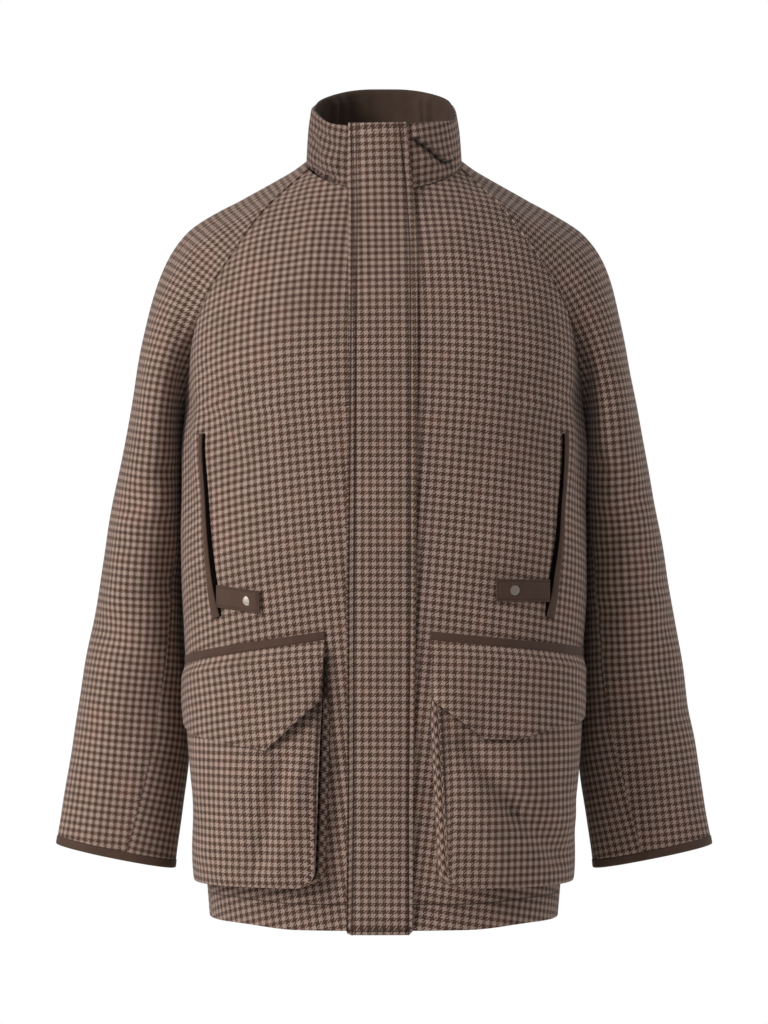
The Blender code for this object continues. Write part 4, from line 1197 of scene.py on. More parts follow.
# %% Collar
COLLAR_FRONT_Z = 0.037
COLLAR_SIDE_Z = 0.053
COLLAR_BACK_Z = 0.0855
COLLAR_HALF_WIDTH = 0.0785
COLLAR_FRONT = 0.069
COLLAR_BACK = 0.074
COLLAR_BULGE = 0.0015
FACING_WALL = 0.0012
FACING_GAP = 0.0003
EDGE_SOFTNESS = (-7.0, -3.5, 0.0, 3.5, 7.0)
COLLAR_EDGE = (
    # degrees round from the centre front, change of the top edge's height
    (-180.0, 0.0),
    (-150.0, 0.0024),
    (-120.0, 0.0041),
    (-99.0, 0.0040),
    (-76.0, 0.0080),
    (-61.5, 0.0027),
    (-47.0, -0.0029),
    (-28.0, -0.0037),
    (0.0, -0.0033),
    (18.0, -0.0030),
    (32.0, 0.0),
    (60.0, -0.0010),
    (83.0, -0.0040),
    (99.0, 0.0030),
    (120.0, 0.0041),
    (150.0, 0.0024),
    (180.0, 0.0),
)
TUCK_LINE = (
    # x, z of the deep fold that the collar's upper part hangs over
    (0.0250, 0.0262),
    (0.0302, 0.0224),
    (0.0515, 0.0086),
    (0.0600, 0.0000),
    (0.0645, -0.0024),
    (0.0700, -0.0012),
    (0.0745, 0.0040),
    (0.0790, 0.0115),
)
TUCK_STARTS = (0.0250, 0.0370)
TUCK_ENDS = (0.0690, 0.0770)
TUCK_OUT = 0.0044
TUCK_OUT_FADE = 0.014
TUCK_IN = 0.0046
TUCK_IN_FADE = 0.007
TUCK_SHADE_BELOW = 0.0016
TUCK_SHADE_SPREAD = 0.0024
COLLAR_CREASES = (
    # x0, z0, x1, z1, width, depth
    (0.040, 0.001, 0.056, -0.009, 0.0060, 0.0024),
    (-0.0753, -0.0096, -0.0625, -0.0190, 0.0036, -0.0050),
    (-0.0625, -0.0190, -0.0520, -0.0222, 0.0034, -0.0045),
    (-0.078, 0.026, -0.070, 0.003, 0.0042, -0.0034),
    (-0.072, 0.036, -0.052, 0.012, 0.0046, -0.0026),
    (-0.070, 0.006, -0.050, -0.008, 0.0055, 0.0036),
    (-0.060, 0.030, -0.046, 0.004, 0.0060, 0.0018),
)
FACING_FOLDS = (
    # x0, z0, x1, z1, width, depth
    (-0.0565, 0.080, -0.0575, 0.010, 0.0030, 0.0040),
    (-0.0455, 0.080, -0.0470, 0.010, 0.0034, 0.0030),
    (0.0410, 0.080, 0.0420, 0.010, 0.0034, 0.0030),
    (0.0500, 0.080, 0.0510, 0.010, 0.0030, 0.0040),
    (-0.020, 0.080, -0.016, 0.030, 0.0060, 0.0010),
    (0.018, 0.080, 0.022, 0.030, 0.0060, 0.0010),
)
FACING_TURN = 0.018
FACING_FOLDS_END = (0.85, 1.0)
BEHIND = (0.0, 0.6)
COLLAR_MIDDLE = 0.0040
# Painted shade on the collar's left part, fading out between the two x values below.
COLLAR_LEFT_SHADE = 0.34
COLLAR_LEFT_SHADE_X = (-0.045, -0.020)
COLLAR_FRONT_FACING = (-0.05, 0.25)
COLLAR_RIPPLE = 0.6
COLLAR_RIPPLE_FINENESS = 1.7
COLLAR_TURNS = np.linspace(0.004, 2 * math.pi - 0.004, 640)
COLLAR_RISES = np.linspace(0.004, 1.0, 90)


def collar(turn, rise):
    """The standing collar's outside: rise is 0 at the neckline and 1 at the top edge."""
    turn, rise = np.broadcast_arrays(np.asarray(turn, float), np.asarray(rise, float))
    across, along = np.sin(turn), np.cos(turn)
    tilt = (COLLAR_BACK_Z - COLLAR_FRONT_Z) / 2
    dish = (COLLAR_BACK_Z + COLLAR_FRONT_Z) / 2 - COLLAR_SIDE_Z
    height = COLLAR_SIDE_Z - tilt * along + dish * along ** 2
    degrees, change = np.array(COLLAR_EDGE).T
    for away in EDGE_SOFTNESS:
        round_from_front = (np.degrees(turn) + away + 180.0) % 360.0 - 180.0
        height = height + np.interp(round_from_front, degrees, change) / len(EDGE_SOFTNESS)
    depth = np.where(along > 0, COLLAR_FRONT, COLLAR_BACK)
    top = np.stack((COLLAR_HALF_WIDTH * across, -depth * along, height), axis=-1)
    bulge = COLLAR_BULGE * np.sin(math.pi * rise)
    out = np.stack((across * bulge, -along * bulge, np.zeros_like(bulge)), axis=-1)
    return neckline(turn) * (1 - rise)[..., None] + top * rise[..., None] + out


def tuck(points):
    """How far the tucked end moves the collar's cloth, and how much painted shade the fold under it gets."""
    line_x, line_z = np.array(TUCK_LINE).T
    x, above = points[..., 0], points[..., 2] - np.interp(points[..., 0], line_x, line_z)
    there = smooth(*TUCK_STARTS, x) * (1 - smooth(*TUCK_ENDS, x))
    out = TUCK_OUT * smooth(-0.0004, 0.0012, above) * np.exp(-np.clip(above, 0.0, None) / TUCK_OUT_FADE)
    sunk = TUCK_IN * (1 - smooth(-0.0012, 0.0004, above)) * np.exp(np.clip(above, None, 0.0) / TUCK_IN_FADE)
    dark = np.exp(-((above + TUCK_SHADE_BELOW) / TUCK_SHADE_SPREAD) ** 2)
    return (out - sunk) * there, dark * there


def collar_cloth(turn, rise):
    """The collar's cloth with its folds and creases, and the direction out of it."""
    points, normals = collar(turn, rise), outward(collar, turn, rise)
    front = smooth(*COLLAR_FRONT_FACING, -normals[..., 1])
    depth = (crease_depth(points, COLLAR_CREASES) + tuck(points)[0]) * front
    depth = depth + COLLAR_RIPPLE * ripple_depth(points * COLLAR_RIPPLE_FINENESS)
    return points + normals * depth[..., None], normals


def make_collar():
    turn, rise = np.broadcast_arrays(COLLAR_TURNS[None, :], COLLAR_RISES[:, None])
    smooth_cloth = collar(turn, rise)
    across = along_rows(collar(turn[:1], 0.5)) - COLLAR_MIDDLE
    along = along_rows(smooth_cloth.swapaxes(0, 1)).T
    along = along - along[len(along) // 2]
    # Painted shade: the fold under the tucked end and the collar's left part are darkened through the third
    # channel.
    dark = tuck(smooth_cloth)[1] * smooth(*COLLAR_FRONT_FACING, np.cos(turn))
    dark = dark + COLLAR_LEFT_SHADE * (1 - smooth(*COLLAR_LEFT_SHADE_X, smooth_cloth[..., 0]))
    points = collar_cloth(turn, rise)[0]
    flat_and_dark = np.stack((np.broadcast_to(across, rise.shape), along, dark), axis=-1)
    grid = respace_both(np.concatenate((points, flat_and_dark), axis=-1), across=0.0020, along=0.0018)
    make_cloth("collar", grid, WALL, TWEED)
    behind = smooth(*BEHIND, -np.cos(turn))
    high = rise * (1 + FACING_TURN * behind)
    lining, normals = collar_cloth(turn, high)
    inside = (WALL + FACING_GAP) * (1 - smooth(1.0, 1.0 + FACING_TURN, high))
    inside = inside + crease_depth(lining, FACING_FOLDS) * behind * (1 - smooth(*FACING_FOLDS_END, rise))
    grid = respace_both(lining - normals * inside[..., None], across=0.003, along=0.003)
    make_cloth("collar_facing", grid, FACING_WALL, FACING, middle=grid.shape[1] // 2)


make_collar()
print("collar cut:", MADE["collar"])

# %% [markdown]
# The storm flap covers the closure from the collar's top to just below the hem. It is two layers thick
# and has round lower corners. Two lines of sewing run along its sewn edge, one along its free edge and
# one along its bottom.

# %% Storm flap
STORM_FLAP_EDGES = (
    # height, x of the sewn edge, x of the free edge
    (-0.820, -0.0395, 0.0302),
    (-0.679, -0.0385, 0.0307),
    (-0.459, -0.0392, 0.0338),
    (-0.140, -0.0376, 0.0352),
    (-0.097, -0.0374, 0.0347),
    (-0.035, -0.0370, 0.0308),
    (-0.003, -0.0370, 0.0268),
    (0.036, -0.0370, 0.0228),
)
STORM_FLAP_BELOW_HEM = 0.004
STORM_FLAP_CORNER = 0.006
DOUBLE_WALL = 0.0030
LAY_GAP = 0.0004
FLAP_SEWING = (0.0040, 0.0096)
FLAP_FREE_SEWING = 0.0076
FLAP_PRESS = 0.0011
FLAP_NECK_RISES = (0.93, 0.16)
FLAP_TOP_RISE = 1.037
FLAP_COLLAR_ROWS = 24
FLAP_COLUMNS = 70
FLAP_TURNS = np.radians(np.linspace(-60.0, 60.0, 241))
FLAP_HEM_FADE = 0.05
FLAP_GRAIN_COLUMN = 6


def make_storm_flap():
    heights, sewn_edge, free_edge = np.array(STORM_FLAP_EDGES).T
    shares = np.linspace(0.0, 1.0, FLAP_COLUMNS)
    body_top, collar_low = FLAP_NECK_RISES
    body_rises = DENSE_RISES[DENSE_RISES <= body_top]
    collar_rises = np.linspace(collar_low, FLAP_TOP_RISE, FLAP_COLLAR_ROWS)
    rows = []
    for surface, rises in ((body_cloth, body_rises), (collar_cloth, collar_rises)):
        for rise in rises:
            ring, out = surface(FLAP_TURNS, np.full_like(FLAP_TURNS, rise))
            middle_z = ring[len(FLAP_TURNS) // 2, 2]
            first, last = (np.interp(middle_z, heights, edge) for edge in (sewn_edge, free_edge))
            x = first + (last - first) * shares
            lifted = ring + out * (LAY_GAP + DOUBLE_WALL)
            rows.append(np.stack([np.interp(x, ring[:, 0], lifted[:, axis]) for axis in range(3)], axis=1))
    points = np.array(rows)
    from_edge = (free_edge[0] - sewn_edge[0]) * np.minimum(shares, 1.0 - shares)
    corner = np.clip(1.0 - from_edge / STORM_FLAP_CORNER, 0.0, 1.0)
    round_up = STORM_FLAP_CORNER * (1.0 - np.sqrt(1.0 - corner ** 2))
    below = 1.0 - smooth(0.0, FLAP_HEM_FADE, points[:, :, 2] - HEM_Z)
    points[:, :, 2] -= (STORM_FLAP_BELOW_HEM - round_up[None, :]) * below
    points = unwrap(respace_rows(points, PLAIN, PLAIN, 0.003), column=FLAP_GRAIN_COLUMN)
    grid = respace_both(points, across=0.004, start=edge_places(*FLAP_SEWING),
                        end=edge_places(FLAP_FREE_SEWING), low=edge_places(FLAP_SEWING[0]))
    grooves = [("start", distance) for distance in FLAP_SEWING]
    grooves += [("end", FLAP_FREE_SEWING), ("low", FLAP_SEWING[0])]
    make_cloth("storm_flap", grid, DOUBLE_WALL, TWEED, grooves=grooves, press=FLAP_PRESS)


make_storm_flap()
print("storm flap cut:", MADE["storm_flap"])

# %% [markdown]
# What lies on a front is placed by its distance along the cloth from the centre front, and its height,
# as a tailor marks it with a tape. A table of such distances, worked out once, makes that quick.

# %% Places on the fronts
PLACE_TURNS = np.linspace(0.0, math.radians(112.0), 225)
PLACE_HEIGHTS = np.linspace(HEM_Z, UNDERARM_Z, 90)


def rise_at(height):
    """The body's rise at a height below the underarm."""
    return (height - UNDERARM_Z) / (UNDERARM_Z - HEM_Z)


def distance_rows():
    """Distances along the cloth from the centre front, and x, at each turn and height."""
    turn, height = np.meshgrid(PLACE_TURNS, PLACE_HEIGHTS)
    ring = torso(turn, rise_at(height))
    return along_rows(ring), ring[..., 0]


PLACE_WAYS, PLACE_X = distance_rows()


def turn_at(distance, height):
    """Turn about the body at distances along the cloth from the centre front."""
    row = np.interp(height, PLACE_HEIGHTS, np.arange(len(PLACE_HEIGHTS)))
    low = np.clip(row.astype(int), 0, len(PLACE_HEIGHTS) - 2)
    share = row - low
    turn = np.empty(np.shape(distance))
    for index in np.unique(low):
        here = low == index
        below = np.interp(distance[here], PLACE_WAYS[index], PLACE_TURNS)
        above = np.interp(distance[here], PLACE_WAYS[index + 1], PLACE_TURNS)
        turn[here] = below + (above - below) * share[here]
    return turn


def front_place(distance, height, side):
    """Points and normals of a front's outside."""
    distance, height = np.broadcast_arrays(np.asarray(distance, float), np.asarray(height, float))
    return body_cloth(turn_at(distance, height), rise_at(height), side)


def distance_at(x, height):
    """Distance along the cloth from the centre front to places x metres from the middle plane."""
    found = []
    for place_x, place_z in zip(np.ravel(x), np.ravel(height)):
        row = int(np.argmin(np.abs(PLACE_HEIGHTS - place_z)))
        quarter = PLACE_TURNS <= math.pi / 2
        found.append(np.interp(place_x, PLACE_X[row][quarter], PLACE_WAYS[row][quarter]))
    return np.array(found).reshape(np.shape(x))


print("distance table:", PLACE_WAYS.shape)

# %% [markdown]
# The cargo pockets are bellows: a bag stands off the front on a folded strip, so that it can swell. A
# brown band crosses its top, and a pointed flap hangs over the bag from under the band.

# %% Cargo pockets
POCKETS = {
    # side: inner_top, inner_bottom, outer_top, outer_bottom
    -1: (0.0615, 0.070, 0.260, 0.242),
    1: (0.0520, 0.0655, 0.260, 0.242),
}
BAND_START = {-1: 0.0, 1: -0.0045}
TRIM_WALL = 0.0018
TRIM_HEIGHT = 0.0090
TRIM_INNER_Z = -0.5012
TRIM_OUTER_Z = {-1: -0.5310, 1: -0.5225}
OUTER_SLACK = (0.48, 0.12)
MOUTH_BELOW_TRIM = 0.019
BAG_BOTTOM_Z = -0.768
BAG_CORNER = 0.018
BAG_MOUTH_STAND = 0.0065
BAG_STAND = 0.0165
BAG_SWELL_DOWN = (0.0, 0.6)
SLACK_DOWN = (0.55, 0.95)
SLACK_ACROSS = (0.70, 1.0)
BAG_CROWN = 0.004
BAG_CROWN_DOWN = (0.0, 0.3)
BAG_HELD = (0.0, 0.08)
FLAP_CLEARANCE = 0.0010
FLAP_RAMP = 0.015
FLAP_WALL = 0.0024
FLAP_START = {-1: (0.0, 0.0005), 1: (-0.0045, -0.0060)}
FLAP_EDGE = {
    # side: rows of share of the way across, drop below the band
    -1: ((0.0, 0.0626), (0.285, 0.1064), (1.0, 0.0626)),
    1: ((0.0, 0.0630), (0.244, 0.0974), (0.397, 0.0951), (0.620, 0.0777), (1.0, 0.0638)),
}
GUSSET_INSET = 0.0006
GUSSET_FOLD = 0.004
GUSSET_WALL = 0.0012
GUSSET_SEWING = 0.0014
GUSSET_LEVELS = np.linspace(0.0, 1.0, 21)
GUSSET_SEEN = (0.0, 0.06)
GUSSET_UNDER_FLAP = (-0.003, 0.006)
GUSSET_BELLOWS = {
    # side: rows of way up the strip, reach beyond the bag's edge, share of the bag's height
    -1: (
        (0.00, 0.0088, 0.00),
        (0.16, 0.0081, 0.30),
        (0.45, 0.0050, 0.42),
        (0.70, 0.0012, 0.40),
        (0.82, -0.0004, 0.06),
        (0.90, -0.0030, 0.12),
        (1.00, -0.0006, 1.00),
    ),
    1: (
        (0.00, 0.0088, 0.00),
        (0.16, 0.0084, 0.30),
        (0.45, 0.0062, 0.50),
        (0.70, 0.0030, 0.62),
        (0.82, 0.0012, 0.56),
        (0.90, -0.0006, 0.60),
        (1.00, -0.0006, 1.00),
    ),
}
SLOT_SHADE = {-1: 1.0, 1: 0.35}
SLOT_LEVEL = 0.82
SLOT_SPREAD = 0.07
FLAP_SHADE = {-1: 0.25, 1: 0.85}
FLAP_SHADE_REACH = 0.0034
FLAP_SHADE_STARTS = (0.0, 0.02)
FLAP_SHADE_ENDS = (-0.03, 0.10)
BAG_SEWING = 0.0036
FLAP_LIFT = 0.0075
FLAP_LIFT_SKEW = 0.8
FLAP_LIFT_DOWN = (0.45, 1.0)
BAND_ROWS = np.linspace(0.0, 1.0, 12)[:, None]
BAG_ROWS = np.linspace(0.0, 1.0, 120)[:, None]
POCKET_FLAP_ROWS = np.linspace(1.0, 0.0, 90)[:, None]
POCKET_COLUMNS = np.linspace(0.0, 1.0, 150)[None, :]
BAG_CREASES = {
    # side: rows of x0, z0, x1, z1, width, depth
    -1: (
        (-0.106, -0.640, -0.132, -0.745, 0.011, -0.0060),
        (-0.090, -0.650, -0.108, -0.750, 0.014, 0.0030),
        (-0.150, -0.655, -0.185, -0.735, 0.016, 0.0024),
        (-0.118, -0.752, -0.170, -0.757, 0.010, 0.0020),
    ),
    1: (
        (0.088, -0.618, 0.140, -0.690, 0.011, -0.0060),
        (0.140, -0.690, 0.186, -0.738, 0.012, -0.0060),
        (0.090, -0.660, 0.118, -0.745, 0.016, 0.0030),
        (0.150, -0.655, 0.192, -0.700, 0.014, 0.0026),
    ),
}
FLAP_CREASES = (
    # x0, z0, x1, z1, width, depth
    (-0.080, -0.560, -0.125, -0.612, 0.014, 0.0016),
    (0.072, -0.560, 0.108, -0.604, 0.014, 0.0016),
    (-0.150, -0.545, -0.205, -0.575, 0.018, 0.0012),
    (0.150, -0.545, 0.205, -0.575, 0.018, 0.0012),
)


def trim_line(side, share):
    """Height of the band's lower edge at shares of the way from the inner to the outer end."""
    return TRIM_INNER_Z + (TRIM_OUTER_Z[side] - TRIM_INNER_Z) * share - TRIM_HEIGHT


def pocket_distance(side, share, height):
    """Distance from the centre front at a share of the way across the pocket, at a height."""
    inner_top, inner_bottom, outer_top, outer_bottom = POCKETS[side]
    down = np.clip((height - TRIM_INNER_Z) / (BAG_BOTTOM_Z - TRIM_INNER_Z), 0.0, 1.0)
    inner = inner_top + (inner_bottom - inner_top) * down
    outer = outer_top + (outer_bottom - outer_top) * down
    return inner + (outer - inner) * share


def bag_stand(side, share, height):
    """How far the bag's outer face stands off the front."""
    mouth = trim_line(side, share) - MOUTH_BELOW_TRIM
    down = (height - mouth) / (BAG_BOTTOM_Z - mouth)
    stand = BAG_MOUTH_STAND + (BAG_STAND - BAG_MOUTH_STAND) * smooth(*BAG_SWELL_DOWN, down)
    slack = OUTER_SLACK[0] + (OUTER_SLACK[1] - OUTER_SLACK[0]) * smooth(*SLACK_DOWN, down)
    stand = stand * (1 - slack * smooth(*SLACK_ACROSS, share))
    crown = BAG_CROWN * np.sin(math.pi * np.clip(share, 0.0, 1.0))
    return stand + crown * smooth(*BAG_CROWN_DOWN, down)


def bag_bottom(side, share):
    """Height of the bag's lower edge, round at its two corners."""
    inner, outer = pocket_distance(side, 0.0, BAG_BOTTOM_Z), pocket_distance(side, 1.0, BAG_BOTTOM_Z)
    edge = np.minimum(share, 1.0 - share) * (outer - inner)
    into = np.clip(1.0 - edge / BAG_CORNER, 0.0, 1.0)
    return BAG_BOTTOM_Z + BAG_CORNER * (1.0 - np.sqrt(1.0 - into ** 2))


def make_band(side, share):
    height = trim_line(side, share) + TRIM_HEIGHT * BAND_ROWS
    distance = pocket_distance(side, share, height) + BAND_START[side] * (1.0 - share)
    points, normals = front_place(distance, height, side)
    grid = respace_both(points + normals * (LAY_GAP + TRIM_WALL), across=0.004, along=0.002)
    make_cloth(side_name("cargo_trim", side), grid, TRIM_WALL, TRIM, side)


def make_bag(side, share):
    mouth, bottom = trim_line(side, share) - MOUTH_BELOW_TRIM, bag_bottom(side, share)
    height = bottom + (mouth - bottom) * BAG_ROWS
    wide = np.broadcast_to(share, height.shape)
    points, normals = front_place(pocket_distance(side, wide, height), height, side)
    points = points + normals * bag_stand(side, wide, height)[..., None]
    seen = on_side(points, side)
    loose = smooth(*BAG_HELD, wide) * smooth(*BAG_HELD, 1.0 - wide)
    points = points + normals * (crease_depth(seen, BAG_CREASES[side]) * loose)[..., None]
    across, drops = np.array(FLAP_EDGE[side]).T
    start = FLAP_START[side][1] / (POCKETS[side][2] - POCKETS[side][0])
    flap_share = (wide - start) / (1.0 - 2.0 * start)
    # Painted shadow on the bag just below the flap's edge, stored as a third channel.
    under_flap = trim_line(side, wide) - np.interp(flap_share, across, drops) - height
    dark = FLAP_SHADE[side] * np.exp(-(under_flap / FLAP_SHADE_REACH) ** 2)
    dark = dark * smooth(*FLAP_SHADE_STARTS, wide) * (1 - smooth(*(across[1] + FLAP_SHADE_ENDS), wide))
    points = np.concatenate((unwrap(points, row=0), dark[..., None]), axis=-1)
    sewn = edge_places(BAG_SEWING)
    grid = respace_both(points, along=0.0025, start=sewn, end=sewn)
    make_cloth(side_name("cargo_pocket", side), grid, WALL, TWEED, side,
               grooves=[("start", BAG_SEWING), ("end", BAG_SEWING)])


def make_pocket_flap(side, share):
    across, drops = np.array(FLAP_EDGE[side]).T
    drop = np.interp(share, across, drops)
    below = drop * POCKET_FLAP_ROWS
    height = trim_line(side, share) - below
    ramp = smooth(0.0, FLAP_RAMP, below)
    start = np.interp(below / drop, (0.0, 1.0), FLAP_START[side]) * np.clip(1.0 - 2.0 * share, 0.0, 1.0)
    distance = pocket_distance(side, share, height) + start
    points, normals = front_place(distance, height, side)
    over = bag_stand(side, share, height) + FLAP_CLEARANCE
    seen = on_side(points, side)
    offset = LAY_GAP + (over - LAY_GAP) * ramp + FLAP_WALL + crease_depth(seen, FLAP_CREASES) * ramp
    slant = np.clip(share / across[1], 0.0, 1.0)
    lift = FLAP_LIFT * np.sin(math.pi * slant ** FLAP_LIFT_SKEW)
    offset += lift * smooth(*FLAP_LIFT_DOWN, below / drop)
    points = unwrap(points + normals * offset[..., None], row=-1)
    grid = respace_both(points, across=0.004, along=0.004)
    make_cloth(side_name("cargo_flap", side), grid, FLAP_WALL, TWEED, side)


def make_gusset(side):
    """The folded strip that joins the bag's sides and bottom to the front."""
    steps = np.linspace(0.0, 1.0, 50)[:-1]
    shares = np.linspace(0.0, 1.0, 140)
    mouth_inner, mouth_outer = (trim_line(side, end) - MOUTH_BELOW_TRIM for end in (0.0, 1.0))
    ends = bag_bottom(side, np.zeros(1))[0]
    inner = np.stack((np.zeros_like(steps), mouth_inner + (ends - mouth_inner) * steps), axis=1)
    bottom = np.stack((shares, bag_bottom(side, shares)), axis=1)
    outer = np.stack((np.ones_like(steps), mouth_outer + (ends - mouth_outer) * steps), axis=1)[::-1]
    share, height = np.concatenate((inner, bottom, outer)).T
    flat = np.stack((pocket_distance(side, share, height), height), axis=-1)
    ahead = unit(np.gradient(flat, axis=0))
    inward = np.stack((-ahead[:, 1], ahead[:, 0]), axis=-1)
    way = along_rows(flat[None])[0]
    tall = bag_stand(side, share, height) - WALL - LAY_GAP
    full = np.clip(2 * tall / BAG_STAND, 0.0, 1.0)
    seen = 1.0 - smooth(*GUSSET_SEEN, share)
    flap_corner = trim_line(side, 0.0) - FLAP_EDGE[side][0][1]
    under_flap = smooth(*GUSSET_UNDER_FLAP, height - flap_corner)
    steps, reach, rises = np.array(GUSSET_BELLOWS[side]).T
    rows = []
    for level in GUSSET_LEVELS:
        folded = GUSSET_INSET + math.sin(math.pi * level) * GUSSET_FOLD * full
        bellows = -np.interp(level, steps, reach) * full
        place = flat + inward * (folded + (bellows - folded) * seen)[:, None]
        points, normals = front_place(place[:, 0], place[:, 1], side)
        up = level + (np.interp(level, steps, rises) - level) * seen
        # Painted shade in the fold's slot and under the flap's corner, stored as a third channel.
        slot = np.exp(-((level - SLOT_LEVEL) / SLOT_SPREAD) ** 2)
        dark = SLOT_SHADE[side] * np.maximum(slot, under_flap) * seen
        bias = np.stack((way - level * BAG_STAND, way + level * BAG_STAND), axis=-1) * math.sqrt(0.5)
        flat_way = np.concatenate((bias, dark[:, None]), axis=-1)
        points = points + normals * (LAY_GAP + tall * up)[:, None]
        rows.append(np.concatenate((points, flat_way), axis=-1))
    grid = respace_both(np.array(rows), across=0.004, along=0.0016)
    cut = (along_rows(grid).max(), along_rows(grid.swapaxes(0, 1)).max())
    make_cloth(side_name("cargo_gusset", side), grid, GUSSET_WALL, TWEED, side, cut=cut,
               grooves=[("low", GUSSET_SEWING)])


for side in (1, -1):
    make_band(side, POCKET_COLUMNS)
    make_bag(side, POCKET_COLUMNS)
    make_pocket_flap(side, POCKET_COLUMNS)
    make_gusset(side)
print("pocket flap cut:", MADE["cargo_flap_left"])

# %% [markdown]
# An upright pocket opens in each side. A brown binding edges its slit, and beside it a near-black strip
# is laid as a painted shadow for the dark inside of the slit. A tab with a snap comes out of its lower end.

# %% Handwarmer pockets
WELT_INNER = 0.0041
WELT_WIDTH = (0.0112, 0.0094, 0.0074, 0.0062, 0.0052)
WELT_WALL = 0.0026
WELT_CROWN = 0.0008
WELT_ROWS = np.linspace(0.0, 1.0, 120)
STRIP_COLUMNS = np.linspace(0.0, 1.0, 11)
SLIT_WIDTH = (0.0014, 0.0064, 0.0056, 0.0040, 0.0022)
SLIT_WALL = 0.0010
WELT_HEIGHTS = (-0.294, -0.352, -0.428, -0.462, -0.488)
WELT_X = {
    # side: x at each of the heights
    -1: (0.1925, 0.1908, 0.1858, 0.1815, 0.1752),
    1: (0.1925, 0.1900, 0.1835, 0.1790, 0.1735),
}
TABS = {
    # side: inner_x, outer_x, inner_z, outer_z of the middle line, and the snap's x
    -1: (0.1290, 0.1757, -0.4715, -0.4655, 0.1420),
    1: (0.1165, 0.1737, -0.4585, -0.4600, 0.1360),
}
TAB_LIFT = 0.0022
TAB_FREE = (0.0, 0.5)
TAB_WIDTH = 0.0235
TAB_SEWING = 0.0022
TAB_ROWS = np.linspace(-0.5, 0.5, 30)[:, None]
TAB_COLUMNS = np.linspace(0.0, 1.0, 40)[None, :]


def strip_grid(path, low, high, side, crown, lift):
    """A strip along a path on a front, from low to high metres beside it, raised in its middle."""
    ahead = unit(np.gradient(path, axis=0))
    across = np.stack((-ahead[:, 1], ahead[:, 0]), axis=-1)
    low, high = (np.broadcast_to(side_reach, len(path))[:, None] for side_reach in (low, high))
    reach = low + (high - low) * STRIP_COLUMNS[None, :]
    place = path[:, None, :] + across[:, None, :] * reach[..., None]
    points, normals = front_place(place[..., 0], place[..., 1], side)
    height = lift + crown * np.sin(math.pi * STRIP_COLUMNS)[None, :, None]
    return (points + normals * height)[:, ::-1]


def make_handwarmer(side):
    x, height = np.array(WELT_X[side]), np.array(WELT_HEIGHTS)
    path = np.stack((distance_at(x, height), height), axis=-1)[::-1]
    knots = np.linspace(0.0, 1.0, len(x))
    path = through(knots, np.repeat(path[:, None, :], len(WELT_ROWS), axis=1), WELT_ROWS)
    width = np.interp(WELT_ROWS, knots, WELT_WIDTH)
    lift = LAY_GAP + WELT_WALL - WELT_CROWN
    points = strip_grid(path, WELT_INNER - width, WELT_INNER, side, WELT_CROWN, lift)
    grid = respace_both(points, across=0.0012, along=0.004)
    make_cloth(side_name("handwarmer_welt", side), grid, WELT_WALL, TRIM, side)
    # The strip beside the binding is a near-black painted shadow that stands for the dark inside of the
    # slit.
    width = np.interp(WELT_ROWS, knots, SLIT_WIDTH)
    points = strip_grid(path, WELT_INNER, WELT_INNER + width, side, 0.0, LAY_GAP + SLIT_WALL)
    grid = respace_both(points, across=0.0012, along=0.004)
    make_cloth(side_name("handwarmer_slit_shadow", side), grid, SLIT_WALL, SLIT_SHADOW, side, nodes=())


def make_tab(side):
    inner_x, outer_x, inner_z, outer_z, _ = TABS[side]
    ends = distance_at(np.array((inner_x, outer_x)), np.array((inner_z, outer_z)))
    height = inner_z + (outer_z - inner_z) * TAB_COLUMNS + TAB_WIDTH * TAB_ROWS
    distance = np.broadcast_to(ends[0] + (ends[1] - ends[0]) * TAB_COLUMNS, height.shape)
    points, normals = front_place(distance, height, side)
    free = TAB_LIFT * (1 - smooth(*TAB_FREE, TAB_COLUMNS))
    points = points + normals * (LAY_GAP + TRIM_WALL + free)[..., None]
    sewn = edge_places(TAB_SEWING)
    grid = respace_both(points, across=0.002, along=0.002, start=sewn, low=sewn, high=sewn)
    grooves = [(edge, TAB_SEWING) for edge in ("start", "low", "high")]
    make_cloth(side_name("handwarmer_tab", side), grid, TRIM_WALL, TRIM, side, grooves=grooves)


for side in (1, -1):
    make_handwarmer(side)
    make_tab(side)
print("tab cut:", MADE["handwarmer_tab_left"])

# %% [markdown]
# A snap's cap is a turned piece: a shallow dome inside a raised rim. Its outline is a short profile
# that is spun about the snap's middle.

# %% Snaps
SNAP_RADIUS = 0.0053
SNAP_PROFILE = (
    # share of the radius, height in millimetres
    (0.00, 1.28),
    (0.45, 1.26),
    (0.70, 1.18),
    (0.78, 1.05),
    (0.82, 1.06),
    (0.88, 1.18),
    (0.95, 1.08),
    (1.00, 0.75),
    (1.00, 0.10),
    (0.90, 0.00),
    (0.00, 0.00),
)
SNAP_SIDES = 48
SNAP_SHARP_EDGE = math.radians(40.0)
SAME_POINT = 1e-6


